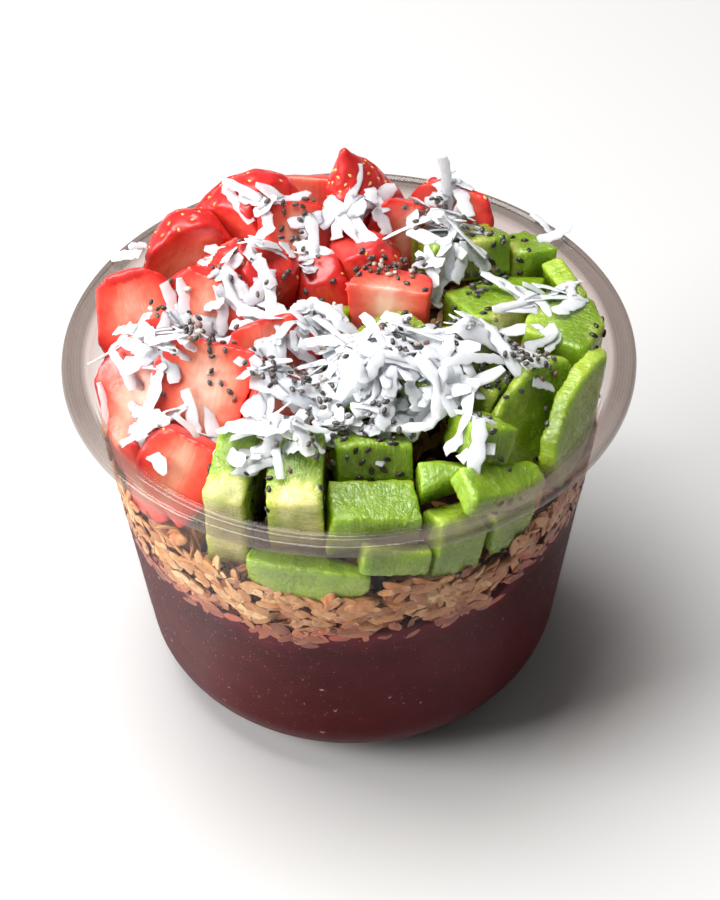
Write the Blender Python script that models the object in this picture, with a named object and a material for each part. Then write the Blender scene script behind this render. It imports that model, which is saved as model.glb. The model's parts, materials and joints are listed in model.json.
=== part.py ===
"""An acai bowl: a clear plastic tub filled with puree, a band of granola, and cut kiwi and strawberries.

Lengths in the tables are millimetres and angles are degrees; MM turns them into Blender's metres.
The tub stands on z = 0 with its axis on Z. The side most often looked at faces -Y.
"""
import math
from itertools import combinations

import bmesh
import bpy
from mathutils import Euler, Matrix, Vector
from mathutils.bvhtree import BVHTree

MM = 0.001

# the tub
TUB_HEIGHT = 82.0
RIM_RADIUS = 58.5
WALL_TOP_RADIUS = 53.6
WALL_SLOPE = math.radians(7.75)
CORNER_RADIUS = 17.0
WALL = 0.7
LIP_DROP = 2.2
TUB_SIDES = 60
CORNER_STEPS = 6

# the fillings
FILL_SIDES = 48
FILL_RINGS = 8
GAP = 0.3
WALL_GAP = 0.55
WALL_PLANES = 32
GRANOLA_CROWN = 4.0
PRESS_GAP = 0.5
PRESS_REACH = (0.0, 3.2, 6.4)
LOWEST_GRANOLA = 3.5

# heights of the puree and of the granola round the wall: (angle from -Y towards +X, height)
PUREE_LEVELS = ((-180, 53.0), (-74, 49.5), (-50, 46.0), (-20, 46.5), (0, 47.5), (30, 49.5), (56, 54.0), (110, 55.0))
GRANOLA_LEVELS = ((-180, 68.0), (-60, 65.5), (-34, 64.0), (0, 66.0), (40, 66.0), (75, 68.0), (120, 70.0))

# whole fruit that the pieces are cut from
KIWI_RADIUS = 23.0
KIWI_HALF_LENGTH = 33.0
FRUIT_SIDES = 18
FRUIT_RINGS = 6
TIP_RADIUS = 0.8
BERRY_TIP = 0.75  # how slowly a berry widens from its tip
POINTED_TIPS = {"strawberry_tall": 1.0}
WELD = 0.04

# each kiwi piece: middle, turn, and the window (x0, x1, y0, y1, z0, z1) that it keeps of a kiwi with its core on Z
KIWI_PIECES = {
    "kiwi_front_left_block": ((-23.0, -34.5, 74.0), (16, 3, -12), (-6, 6, -1, 17, -14, 11)),
    "kiwi_front_seeded_block": ((-10.0, -36.5, 74.5), (20, 0, -3), (-6.6, 6.6, -2, 17, -14, 11)),
    "kiwi_wall_half_moon": ((-9.5, -47.0, 63.0), (82, 0, -11), (-13, 13, -23, -10.5, -3.5, 3.5)),
    "kiwi_front_glossy_block": ((4.5, -40.5, 73.0), (12, 6, 6), (-9.5, 9.5, -3, 12, -6, 6)),
    "kiwi_front_arch": ((19.5, -35.0, 77.0), (-62, 4, 10), (-9, 9, 14, 23, -3.5, 3.5)),
    "kiwi_front_corner": ((27.0, -37.0, 76.5), (24, 22, 36), (-10, 10, 5, 21, -6, 5)),
    "kiwi_rounded": ((25.0, -30.0, 81.5), (-24, 20, 18), (-4.8, 4.8, 9, 23, -6, 6)),
    "kiwi_dark_slice": ((35.5, -18.5, 76.5), (70, -12, 50), (-15, 15, 0, 23, -4.8, 4.8)),
    "kiwi_crescent": ((44.5, -14.0, 77.0), (76, -14, 62), (-15, 15, 8, 23, -3.5, 3.5)),
    "kiwi_right_chunk": ((43.5, 6.0, 77.5), (4, 6, 66), (-10.5, 10.5, 6, 23, -6.5, 6.5)),
    "kiwi_back_cube": ((38.5, 29.5, 78.5), (-12, 6, 22), (4, 14, -5.5, 5.5, -5.5, 5.5)),
    "kiwi_wall_slice": ((45.5, 22.0, 76.0), (82, 0, 112), (-8, 8, 9, 22, -2.5, 2.5)),
    "kiwi_middle_shade": ((4.0, -28.0, 78.5), (-18, 0, 8), (-8, 8, 3, 19, -6, 6)),
    "kiwi_middle_right": ((21.0, -6.0, 84.0), (-24, 12, 22), (-8, 8, 4, 20, -5, 5)),
    "kiwi_middle_left": ((-3.0, 3.5, 80.5), (-26, -12, -24), (-7, 7, 5, 20, -6, 6)),
    "kiwi_middle": ((9.0, -15.5, 83.0), (-22, 5, -10), (-9, 9, 4, 20, -6, 6)),
    "kiwi_back_quarter": ((23.5, 29.5, 81.0), (-22, 8, 20), (-9, 9, 4, 20, -5, 6)),
    "kiwi_right_low": ((29.5, 11.0, 78.0), (-12, 8, 28), (-8, 8, 3, 18, -6, 6)),
    "kiwi_centre": ((9.5, -1.0, 80.5), (-14, -8, 30), (-7, 7, 4, 18, -6, 6)),
    "kiwi_right_middle": ((27.5, -16.0, 81.0), (-22, 10, -30), (-7, 7, 4, 19, -5.5, 5.5)),
    "kiwi_right_gap": ((33.5, 20.0, 76.5), (-10, -8, -20), (-7, 7, 4, 18, -6, 6)),
    "kiwi_wall_right": ((20.5, -43.5, 68.5), (70, 8, 24), (-6, 6, 8, 22, -4, 4)),
    "kiwi_wall_corner": ((31.5, -38.0, 69.0), (64, 0, 38), (-5.5, 5.5, 8, 20, -3.5, 3.5)),
    "kiwi_wall_small": ((8.0, -46.5, 67.0), (78, 12, 8), (-7, 7, 12, 20, -3, 3)),
}

# each strawberry piece: middle, turn, largest radius, length, and the window it keeps, as fractions of the
# radius across and of the length along a berry whose tip is at the bottom
BERRY_PIECES = {
    "strawberry_left_half": ((-42.5, 10.5, 77.0), (-30, -10, 12), 11.0, 29, (-1, 1, 0, 1, 0, 1)),
    "strawberry_big_half": ((-29.5, -16.0, 79.0), (-40, 8, -12), 13.0, 31, (-1, 1, 0, 0.9, 0, 0.95)),
    "strawberry_back_left": ((-20.5, 40.5, 83.0), (16, 66, 10), 11.5, 28, (-1, 1, -1, 1, 0.2, 1)),
    "strawberry_back_small": ((-36.5, 34.0, 78.5), (12, 50, 24), 10.5, 26, (-1, 1, -0.6, 1, 0, 1)),
    "strawberry_back_slice": ((-12.5, 32.0, 81.0), (-34, 14, 12), 9.5, 24, (-1, 1, 0, 0.9, 0.05, 0.95)),
    "strawberry_left_slice": ((-26.5, 28.0, 77.5), (-34, -30, 4), 9.5, 24, (-1, 1, 0, 0.85, 0.05, 0.95)),
    "strawberry_shaded": ((-20.5, 18.5, 80.0), (28, 24, 16), 11.0, 26, (-1, 1, -1, 0.3, 0.05, 1)),
    "strawberry_tall": ((2.0, 42.5, 90.0), (186, -13, 8), 11.5, 38, (-1, 1, -1, 0.8, 0, 0.67)),
    "strawberry_back_wedge": ((10.5, 33.0, 80.5), (-20, 24, 14), 9.5, 24, (-1, 1, -0.3, 0.9, 0.05, 0.95)),
    "strawberry_centre_block": ((7.5, 10.0, 83.0), (-12, 4, -8), 12.0, 30, (-0.8, 0.75, -0.3, 0.8, 0.3, 0.75)),
    "strawberry_centre_low": ((-4.5, 20.5, 74.0), (14, -12, 10), 11.0, 26, (-1, 1, -1, 0.4, 0, 1)),
    "strawberry_back_pale": ((-9.0, 46.0, 77.5), (-26, 0, -8), 11.0, 26, (-0.85, 0.85, 0, 0.7, 0.1, 0.9)),
    "strawberry_back_right": ((21.5, 43.5, 76.0), (-26, 10, -20), 10.5, 26, (-1, 1, 0, 0.85, 0.05, 0.95)),
    "strawberry_left_low": ((-42.5, -10.0, 73.5), (-40, 10, -34), 12.0, 29, (-1, 1, 0, 0.9, 0, 0.95)),
    "strawberry_rim_low": ((-35.0, -29.5, 72.0), (-30, 16, -24), 9.5, 25, (-1, 1, -0.1, 0.9, 0, 0.95)),
    "strawberry_wall_low": ((-42.0, -24.5, 67.0), (-24, 36, -58), 10.0, 25, (-1, 1, -0.2, 0.9, 0, 1)),
    "strawberry_left_gap": ((-30.0, 13.0, 78.0), (-28, 14, -20), 10.5, 25, (-1, 1, -0.2, 0.9, 0.05, 0.95)),
    "strawberry_left_side": ((-38.5, 0.5, 75.5), (-30, 20, 10), 9.5, 24, (-1, 1, -0.2, 0.9, 0.05, 0.95)),
    "strawberry_back_gap": ((4.0, 25.0, 76.5), (-16, -14, 12), 10.0, 25, (-1, 1, -0.6, 0.8, 0.05, 0.95)),
    "strawberry_middle_left": ((-14.0, -8.0, 80.5), (-34, -10, 10), 11.5, 28, (-1, 1, -0.1, 0.9, 0.05, 0.95)),
    "strawberry_middle_front": ((-15.0, -18.0, 77.5), (-24, 12, 4), 9.5, 23, (-1, 1, -0.3, 0.8, 0.05, 0.95)),
}

COLOURS = {
    "tub": (0.62, 0.6, 0.6, 1.0),
    "puree": (0.12, 0.02, 0.04, 1.0),
    "granola": (0.62, 0.38, 0.2, 1.0),
    "kiwi": (0.36, 0.56, 0.06, 1.0),
    "strawberry": (0.78, 0.08, 0.06, 1.0),
}
ROUGHNESS = {"tub": 0.1, "puree": 0.4, "granola": 0.8, "kiwi": 0.3, "strawberry": 0.3}


def empty_scene():
    for thing in list(bpy.data.objects):
        bpy.data.objects.remove(thing, do_unlink=True)


def make_material(name):
    material = bpy.data.materials.new(name)
    material.use_nodes = True
    shader = material.node_tree.nodes["Principled BSDF"]
    shader.inputs["Base Color"].default_value = COLOURS[name]
    shader.inputs["Roughness"].default_value = ROUGHNESS[name]
    shader.inputs["Metallic"].default_value = 0.0
    if name == "tub":
        shader.inputs["Alpha"].default_value = 0.35
    return material


def add_object(name, shape, material):
    """Turn a bmesh whose lengths are millimetres into an object in metres."""
    bmesh.ops.scale(shape, vec=(MM, MM, MM), verts=shape.verts)
    bmesh.ops.recalc_face_normals(shape, faces=shape.faces)
    if shape.calc_volume(signed=True) < 0:
        bmesh.ops.reverse_faces(shape, faces=shape.faces)
    mesh = bpy.data.meshes.new(name)
    shape.to_mesh(mesh)
    shape.free()
    mesh.shade_smooth()
    mesh.set_sharp_from_angle(angle=math.radians(35))
    mesh.materials.append(material)
    thing = bpy.data.objects.new(name, mesh)
    bpy.context.scene.collection.objects.link(thing)
    return thing


def turned(profile, sides):
    """Turn a profile that starts and ends on the Z axis into a closed body."""
    shape = bmesh.new()
    angles = [math.tau * side / sides for side in range(sides)]
    rings = []
    for radius, height in profile[1:-1]:
        ring = [shape.verts.new((radius * math.cos(a), radius * math.sin(a), height)) for a in angles]
        rings.append(ring)
    for lower, upper in zip(rings, rings[1:]):
        for side in range(sides):
            after = (side + 1) % sides
            shape.faces.new((lower[side], lower[after], upper[after], upper[side]))
    for (radius, height), ring in ((profile[0], rings[0]), (profile[-1], rings[-1])):
        pole = shape.verts.new((radius, 0.0, height))
        for side in range(sides):
            shape.faces.new((pole, ring[side], ring[(side + 1) % sides]))
    return shape


def wall_radius(height, inset=0.0):
    """Radius of the tub's outer face at a height, or of a face that lies inset inside it."""
    arc = CORNER_RADIUS - inset
    straight = WALL_TOP_RADIUS - inset / math.cos(WALL_SLOPE)
    centre = flat_radius()
    if height >= CORNER_RADIUS - arc * math.sin(WALL_SLOPE):
        return straight - math.tan(WALL_SLOPE) * (TUB_HEIGHT - height)
    return centre + math.sqrt(max(0.0, arc ** 2 - (CORNER_RADIUS - height) ** 2))


def flat_radius():
    """Radius of the flat base, where the corner's arc begins."""
    at_corner = WALL_TOP_RADIUS - math.tan(WALL_SLOPE) * (TUB_HEIGHT - CORNER_RADIUS)
    return at_corner - CORNER_RADIUS / math.cos(WALL_SLOPE)


def corner_arc(inset, steps):
    """Points of the rounded corner from the base up to the straight wall."""
    arc = CORNER_RADIUS - inset
    start, end = -math.pi / 2, -WALL_SLOPE
    points = []
    for step in range(steps + 1):
        angle = start + (end - start) * step / steps
        points.append((flat_radius() + arc * math.cos(angle), CORNER_RADIUS + arc * math.sin(angle)))
    return points


def tub_profile():
    """The tub's section: up the inside, over the flange, round the rolled lip and down the outside."""
    top = TUB_HEIGHT
    inner_top = wall_radius(top - 1.2, WALL)
    flange = [
        (inner_top, top - 1.2),
        (inner_top + 0.45, top - 0.25),
        (inner_top + 1.0, top),
        (inner_top + 1.8, top - 0.3),
        (RIM_RADIUS - 1.7, top - 0.3),
        (RIM_RADIUS - 0.9, top),
        (RIM_RADIUS - 0.25, top - 0.4),
        (RIM_RADIUS, top - 1.1),
        (RIM_RADIUS, top - LIP_DROP),
        (RIM_RADIUS - 0.6, top - LIP_DROP),
        (RIM_RADIUS - 0.75, top - 1.2),
        (RIM_RADIUS - 1.6, top - 1.0),
        (inner_top + 1.8, top - 1.0),
        (wall_radius(top - 2.4), top - 2.4),
    ]
    inside = [(0.0, WALL)] + corner_arc(WALL, CORNER_STEPS)
    outside = list(reversed(corner_arc(0.0, CORNER_STEPS))) + [(0.0, 0.0)]
    return inside + flange + outside


def level_at(levels, angle):
    """Height at an angle, eased between the marks round the wall."""
    marks = list(levels) + [(levels[0][0] + 360, levels[0][1])]
    for (start, low), (end, high) in zip(marks, marks[1:]):
        if start <= angle <= end:
            part = 0.5 - 0.5 * math.cos(math.pi * (angle - start) / (end - start))
            return low + (high - low) * part
    return levels[0][1]


def ripple(angle, share, size):
    """Small unevenness that fades out towards the middle."""
    a = math.radians(angle)
    return size * share * (math.sin(7 * a + 1.0) + 0.7 * math.sin(13 * a + 2.3) + 0.5 * math.sin(19 * a))


def puree_height(angle, share):
    wall = level_at(PUREE_LEVELS, angle)
    middle = sum(height for _, height in PUREE_LEVELS) / len(PUREE_LEVELS)
    return middle + (wall - middle) * share ** 2 + ripple(angle, share ** 4, 0.7)


def granola_height(angle, share):
    wall = level_at(GRANOLA_LEVELS, angle)
    middle = sum(height for _, height in GRANOLA_LEVELS) / len(GRANOLA_LEVELS) + GRANOLA_CROWN
    return middle + (wall - middle) * share ** 2 + ripple(angle + 11, share ** 2, 0.5)


def fill_grid(height_of):
    """Points (x, y, z) of a surface across the tub: the middle, then rings out to the wall."""
    middle = (0.0, 0.0, height_of(0.0, 0.0))
    rings = []
    for ring in range(1, FILL_RINGS + 1):
        share = ring / FILL_RINGS
        points = []
        for side in range(FILL_SIDES):
            angle = 360.0 * side / FILL_SIDES - 180.0
            height = height_of(angle, share)
            radius = share * wall_radius(height, WALL + WALL_GAP)
            a = math.radians(angle)
            points.append((radius * math.sin(a), -radius * math.cos(a), height))
        rings.append(points)
    return middle, rings


def add_surface(shape, grid):
    """Add a grid's faces to a shape and return its outer ring of points."""
    middle = shape.verts.new(grid[0])
    rings = [[shape.verts.new(point) for point in ring] for ring in grid[1]]
    for side in range(FILL_SIDES):
        after = (side + 1) % FILL_SIDES
        shape.faces.new((middle, rings[0][side], rings[0][after]))
        for inner, outer in zip(rings, rings[1:]):
            shape.faces.new((inner[side], outer[side], outer[after], inner[after]))
    return rings[-1]


def join_rings(shape, first, second):
    for side in range(FILL_SIDES):
        after = (side + 1) % FILL_SIDES
        shape.faces.new((first[side], second[side], second[after], first[after]))


def lift(grid, amount):
    middle, rings = grid
    raised = [[(x, y, z + amount) for x, y, z in ring] for ring in rings]
    return (middle[0], middle[1], middle[2] + amount), raised


def puree_body(top_grid):
    """Puree from the tub's floor up to its uneven top."""
    shape = bmesh.new()
    ring_above = add_surface(shape, top_grid)
    side_profile = list(reversed(corner_arc(WALL + GAP, CORNER_STEPS)))
    for radius, height in side_profile:
        ring = []
        for side in range(FILL_SIDES):
            a = math.radians(360.0 * side / FILL_SIDES - 180.0)
            ring.append(shape.verts.new((radius * math.sin(a), -radius * math.cos(a), height)))
        join_rings(shape, ring_above, ring)
        ring_above = ring
    shape.faces.new(ring_above)
    return shape


def granola_body(bottom_grid, top_grid):
    shape = bmesh.new()
    join_rings(shape, add_surface(shape, top_grid), add_surface(shape, bottom_grid))
    return shape


def pressed_grid(grid, fruit_tree, fruit_points):
    """Lower a grid wherever fruit is pressed into it, far enough round each point to clear every edge."""
    upward = Vector((0.0, 0.0, 1.0))

    def clear_height(x, y, height):
        for distance in PRESS_REACH:
            for step in range(8):
                a = math.tau * step / 8
                start = Vector((x + distance * math.cos(a), y + distance * math.sin(a), 0.0))
                hit = fruit_tree.ray_cast(start, upward)[0]
                if hit is not None:
                    height = min(height, hit.z - PRESS_GAP)
        for point in fruit_points:
            if math.hypot(point.x - x, point.y - y) < PRESS_REACH[-1]:
                height = min(height, point.z - PRESS_GAP)
        return height

    middle, rings = grid
    pressed = [[within_wall(x, y, clear_height(x, y, z)) for x, y, z in ring] for ring in rings]
    return (middle[0], middle[1], clear_height(*middle)), pressed


def within_wall(x, y, z):
    """Move a point in towards the axis where the tub is too narrow for it."""
    shrink = min(1.0, wall_radius(z, WALL + WALL_GAP) / math.hypot(x, y))
    return x * shrink, y * shrink, z


def kept_above(grid, floor_grid):
    """Keep a grid at least a little above the one below it."""
    rings = []
    for ring, floor in zip(grid[1], floor_grid[1]):
        pairs = zip(ring, floor)
        rings.append([within_wall(x, y, max(z, base[2] + LOWEST_GRANOLA)) for (x, y, z), base in pairs])
    return grid[0], rings


def face_normal(face):
    """Outward direction of a flat face, whatever its number of corners."""
    total = Vector()
    for here, after in zip(face, face[1:] + face[:1]):
        total += here.cross(after)
    return total.normalized()


def points_of(body):
    return [point for face in body for point in face]


def cut_away(body, point, normal):
    """Cut a convex body by a plane, drop the side that the normal points to, and close the cut."""
    distance = normal.dot(point)
    if max(corner.dot(normal) for corner in points_of(body)) <= distance:
        return body
    kept, rim = [], []
    for face in body:
        left = []
        for here, after in zip(face, face[1:] + face[:1]):
            height, next_height = here.dot(normal) - distance, after.dot(normal) - distance
            if height <= 0:
                left.append(here)
            if (height <= 0) != (next_height <= 0):
                crossing = here.lerp(after, height / (height - next_height))
                left.append(crossing)
                rim.append(crossing)
        if len(left) > 2:
            kept.append(left)
    if rim:
        kept.append(sorted_round(rim, normal))
    return kept


def sorted_round(points, normal):
    """Put the corners of a convex face in order, anticlockwise as seen from outside."""
    middle = sum(points, Vector()) / len(points)
    across = normal.orthogonal().normalized()
    along = normal.cross(across)
    ordered = sorted(points, key=lambda p: math.atan2((p - middle).dot(along), (p - middle).dot(across)))
    distinct = [here for here, after in zip(ordered, ordered[1:] + ordered[:1]) if (here - after).length > WELD]
    return distinct


def body_shape(body):
    """A bmesh of a convex body, its shared corners welded."""
    shape = bmesh.new()
    for face in body:
        shape.faces.new([shape.verts.new(point) for point in face])
    bmesh.ops.remove_doubles(shape, verts=shape.verts, dist=WELD)
    return shape


def whole_fruit(radius_at, bottom, top):
    """A turned fruit with its axis on Z, as a list of flat faces."""
    rings = []
    for ring in range(FRUIT_RINGS + 1):
        share = 0.5 - 0.5 * math.cos(math.pi * ring / FRUIT_RINGS)
        height = bottom + (top - bottom) * share
        radius = max(radius_at(height), TIP_RADIUS)
        angles = [math.tau * side / FRUIT_SIDES for side in range(FRUIT_SIDES)]
        rings.append([Vector((radius * math.cos(a), radius * math.sin(a), height)) for a in angles])
    body = [list(reversed(rings[0])), rings[-1]]
    for lower, upper in zip(rings, rings[1:]):
        for side in range(FRUIT_SIDES):
            after = (side + 1) % FRUIT_SIDES
            body.append([lower[side], lower[after], upper[after], upper[side]])
    return body


def kiwi_radius(height):
    return KIWI_RADIUS * math.sqrt(max(0.0, 1 - (height / KIWI_HALF_LENGTH) ** 2))


def berry_radius(radius, length, tip):
    """Outline of a strawberry: a round or pointed tip, straight flanks and a full shoulder near the top."""
    def radius_at(height):
        share = min(max(height / length, 0.0), 1.0)
        shoulder = math.sqrt(max(0.0, 1 - (max(share - 0.62, 0) / 0.42) ** 2))
        return radius * (1 - (1 - share) ** 2.6) ** tip * shoulder
    return radius_at


def moved(body, place):
    return [[place @ point for point in face] for face in body]


def windowed(body, window):
    """Keep what lies inside a box, centred on the box's middle."""
    low = Vector(window[0::2])
    high = Vector(window[1::2])
    for axis in range(3):
        normal = Vector([1.0 if axis == other else 0.0 for other in range(3)])
        body = cut_away(body, high, normal)
        body = cut_away(body, low, -normal)
    return moved(body, Matrix.Translation((low + high) / -2))


def placed(body, middle, turn):
    angles = Euler([math.radians(angle) for angle in turn], "XYZ")
    return moved(body, Matrix.Translation(middle) @ angles.to_matrix().to_4x4())


def inside_tub(body):
    """Trim a piece where it would pass through the tub's wall."""
    for side in range(WALL_PLANES):
        angle = math.tau * side / WALL_PLANES
        outward = Vector((math.cos(angle), math.sin(angle), 0.0))
        normal = outward * math.cos(WALL_SLOPE) - Vector((0.0, 0.0, math.sin(WALL_SLOPE)))
        radius = wall_radius(TUB_HEIGHT, WALL + WALL_GAP)
        body = cut_away(body, outward * radius + Vector((0.0, 0.0, TUB_HEIGHT)), normal)
    return body


def middle_of(body):
    points = points_of(body)
    return sum(points, Vector()) / len(points)


def press_apart(first, second):
    """Trim two pieces that run into each other by the plane along which they overlap least."""
    first_points, second_points = points_of(first), points_of(second)
    between = (middle_of(second) - middle_of(first)).normalized()
    normals = [face_normal(face) for face in first] + [-face_normal(face) for face in second] + [between]
    best = None
    for normal in normals:
        if normal.length < 0.5:
            continue
        high = max(point.dot(normal) for point in first_points)
        low = min(point.dot(normal) for point in second_points)
        if best is None or high - low < best[0]:
            best = (high - low, (high + low) / 2, normal)
    depth, middle, normal = best
    if depth < -GAP:
        return first, second
    first = cut_away(first, normal * (middle - GAP / 2), normal)
    second = cut_away(second, normal * (middle + GAP / 2), -normal)
    return first, second


def fruit_pieces():
    """All the cut fruit as convex bodies, trimmed against the wall and against each other."""
    pieces = {}
    kiwi = whole_fruit(kiwi_radius, -KIWI_HALF_LENGTH, KIWI_HALF_LENGTH)
    for name, (middle, turn, window) in KIWI_PIECES.items():
        pieces[name] = inside_tub(placed(windowed(kiwi, window), middle, turn))
    for name, (middle, turn, radius, length, part) in BERRY_PIECES.items():
        berry = whole_fruit(berry_radius(radius, length, POINTED_TIPS.get(name, BERRY_TIP)), 0.0, length)
        window = [share * size for share, size in zip(part, (radius,) * 4 + (length,) * 2)]
        pieces[name] = inside_tub(placed(windowed(berry, window), middle, turn))
    for first, second in combinations(list(pieces), 2):
        pieces[first], pieces[second] = press_apart(pieces[first], pieces[second])
    return pieces


def build():
    empty_scene()
    materials = {name: make_material(name) for name in COLOURS}
    add_object("bowl", turned(tub_profile(), TUB_SIDES), materials["tub"])

    pieces = fruit_pieces()
    faces = [face for body in pieces.values() for face in body]
    fruit_points = points_of(faces)
    starts = [sum(len(face) for face in faces[:index]) for index in range(len(faces))]
    polygons = [range(start, start + len(face)) for start, face in zip(starts, faces)]
    fruit_tree = BVHTree.FromPolygons(fruit_points, polygons)
    for name, body in pieces.items():
        add_object(name, body_shape(body), materials[name.split("_")[0]])

    puree_top = fill_grid(puree_height)
    granola_floor = lift(puree_top, GAP)
    granola_top = kept_above(pressed_grid(fill_grid(granola_height), fruit_tree, fruit_points), granola_floor)
    add_object("acai_puree", puree_body(puree_top), materials["puree"])
    add_object("granola_bed", granola_body(granola_floor, granola_top), materials["granola"])


build()
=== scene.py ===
import json
import math
import random

import bmesh
import bpy
import numpy as np
from mathutils import Euler, Matrix, Vector, noise
from mathutils.bvhtree import BVHTree
from mathutils.kdtree import KDTree

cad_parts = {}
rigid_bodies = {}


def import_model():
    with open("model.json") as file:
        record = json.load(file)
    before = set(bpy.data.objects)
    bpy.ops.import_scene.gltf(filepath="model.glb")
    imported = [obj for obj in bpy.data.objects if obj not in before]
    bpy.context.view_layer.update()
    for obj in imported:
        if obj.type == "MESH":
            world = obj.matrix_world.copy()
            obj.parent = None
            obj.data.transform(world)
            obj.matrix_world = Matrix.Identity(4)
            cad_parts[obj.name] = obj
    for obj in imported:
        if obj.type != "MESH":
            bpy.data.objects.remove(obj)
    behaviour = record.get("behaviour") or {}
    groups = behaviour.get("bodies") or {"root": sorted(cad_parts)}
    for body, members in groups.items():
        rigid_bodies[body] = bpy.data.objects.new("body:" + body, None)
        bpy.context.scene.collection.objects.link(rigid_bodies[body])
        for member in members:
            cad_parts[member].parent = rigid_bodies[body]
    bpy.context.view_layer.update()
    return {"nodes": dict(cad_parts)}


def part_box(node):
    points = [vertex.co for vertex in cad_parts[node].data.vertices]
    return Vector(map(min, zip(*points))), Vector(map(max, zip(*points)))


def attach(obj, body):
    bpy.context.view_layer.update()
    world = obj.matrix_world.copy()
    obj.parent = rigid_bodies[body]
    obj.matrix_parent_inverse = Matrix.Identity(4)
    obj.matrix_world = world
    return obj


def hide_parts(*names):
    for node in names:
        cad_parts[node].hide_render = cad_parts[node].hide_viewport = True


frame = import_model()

mm = 0.001
print("frame loaded:", len(frame["nodes"]), "solids")


def tone(red, green, blue):  # a screen colour as the linear one that shaders use
    parts = [value / 255 for value in (red, green, blue)]
    return tuple(p / 12.92 if p < 0.04045 else ((p + 0.055) / 1.055) ** 2.4 for p in parts) + (1.0,)


# shader helpers: put a node down, feed its inputs by name or by number

def put(tree, kind, feeds=None, **settings):
    node = tree.nodes.new(kind)
    for key, value in settings.items():
        setattr(node, key, value)
    for key, value in (feeds or {}).items():
        socket = node.inputs[key]
        if isinstance(value, bpy.types.NodeSocket):
            tree.links.new(value, socket)
        else:
            socket.default_value = value
    return node


def maths(tree, operation, first, second=0.0, third=0.0):
    return put(tree, "ShaderNodeMath", {0: first, 1: second, 2: third}, operation=operation).outputs[0]


def blend(tree, factor, first, second):
    node = put(tree, "ShaderNodeMix", {0: factor, 6: first, 7: second}, data_type="RGBA")
    return node.outputs[2]


def ramp(tree, factor, stops):
    node = put(tree, "ShaderNodeValToRGB", {0: factor})
    band = node.color_ramp
    while len(band.elements) < len(stops):
        band.elements.new(0.5)
    for element, (spot, colour) in zip(band.elements, stops):
        element.position = spot
        element.color = colour if isinstance(colour, tuple) else (colour, colour, colour, 1.0)
    return node.outputs[0]


def speckle(tree, vector, scale, detail=2.0, rough=0.5, warp=0.0):
    feeds = {"Vector": vector, "Scale": scale, "Detail": detail, "Roughness": rough, "Distortion": warp}
    return put(tree, "ShaderNodeTexNoise", feeds).outputs["Fac"]


def objectSpot(tree):
    return put(tree, "ShaderNodeTexCoord").outputs["Object"]


def attribute(tree, name, output="Fac"):
    return put(tree, "ShaderNodeAttribute", attribute_name=name).outputs[output]


def bump(tree, height, distance, strength=1.0):
    feeds = {"Height": height, "Distance": distance, "Strength": strength}
    return put(tree, "ShaderNodeBump", feeds).outputs[0]


def clamped(tree, value):
    return put(tree, "ShaderNodeClamp", {0: value}).outputs[0]


def length2d(tree, first, second):
    squares = maths(tree, "ADD", maths(tree, "POWER", first, 2.0), maths(tree, "POWER", second, 2.0))
    return maths(tree, "SQRT", squares)


def startMaterial(name):
    material = bpy.data.materials.new(name)
    material.use_nodes = True
    tree = material.node_tree
    return material, tree, tree.nodes["Principled BSDF"]


def feed(tree, shader, **sockets):
    for name, value in sockets.items():
        socket = shader.inputs[name.replace("_", " ")]
        if isinstance(value, bpy.types.NodeSocket):
            tree.links.new(value, socket)
        else:
            socket.default_value = value


# mesh helpers

def addPiece(name, mesh, material, smooth=True):
    mesh.materials.clear()
    mesh.materials.append(material)
    if smooth:
        mesh.shade_smooth()
    piece = bpy.data.objects.new(name, mesh)
    bpy.context.scene.collection.objects.link(piece)
    return piece


def evaluatedMesh(thing):
    bpy.context.view_layer.update()
    graph = bpy.context.evaluated_depsgraph_get()
    return bpy.data.meshes.new_from_object(thing.evaluated_get(graph), depsgraph=graph)


def spots(mesh):
    flat = np.empty(len(mesh.vertices) * 3, dtype=np.float32)
    mesh.vertices.foreach_get("co", flat)
    return flat.reshape(-1, 3).astype(float)


def normalsOf(mesh):
    flat = np.empty(len(mesh.vertices) * 3, dtype=np.float32)
    mesh.vertices.foreach_get("normal", flat)
    return flat.reshape(-1, 3).astype(float)


def moveSpots(mesh, places):
    mesh.vertices.foreach_set("co", places.astype(np.float32).ravel())
    mesh.update()


def storeValues(mesh, name, values):
    values = np.asarray(values, dtype=np.float32)
    kind, key = ("FLOAT_VECTOR", "vector") if values.ndim == 2 else ("FLOAT", "value")
    mesh.attributes.new(name, kind, "POINT").data.foreach_set(key, values.ravel())


def unevenness(places, scale, seed):  # smooth noise, about -1 to 1, at each place
    shift = Vector((seed * 7.3, seed * 3.1, seed * 5.7))
    return np.array([noise.noise(Vector(place) * scale + shift) for place in places])


# the tub

tub = {
    "height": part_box("bowl")[1][2],
    "rimRadius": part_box("bowl")[1][0],
    "topRadius": 53.6 * mm,
    "slope": math.radians(7.75),
    "corner": 17.0 * mm,
    "wall": 0.7 * mm,
    "sides": 192,
}


def flatRadius():
    atCorner = tub["topRadius"] - math.tan(tub["slope"]) * (tub["height"] - tub["corner"])
    return atCorner - tub["corner"] / math.cos(tub["slope"])


def wallRadius(height, inset=0.0):  # outer face of the wall, or a face that lies inset inside it
    arc = tub["corner"] - inset
    straight = tub["topRadius"] - inset / math.cos(tub["slope"])
    if height >= tub["corner"] - arc * math.sin(tub["slope"]):
        return straight - math.tan(tub["slope"]) * (tub["height"] - height)
    return flatRadius() + math.sqrt(max(0.0, arc ** 2 - (tub["corner"] - height) ** 2))


def cornerArc(inset, steps):
    arc = tub["corner"] - inset
    start, end = -math.pi / 2, -tub["slope"]
    angles = [start + (end - start) * step / steps for step in range(steps + 1)]
    return [(flatRadius() + arc * math.cos(a), tub["corner"] + arc * math.sin(a)) for a in angles]


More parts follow.
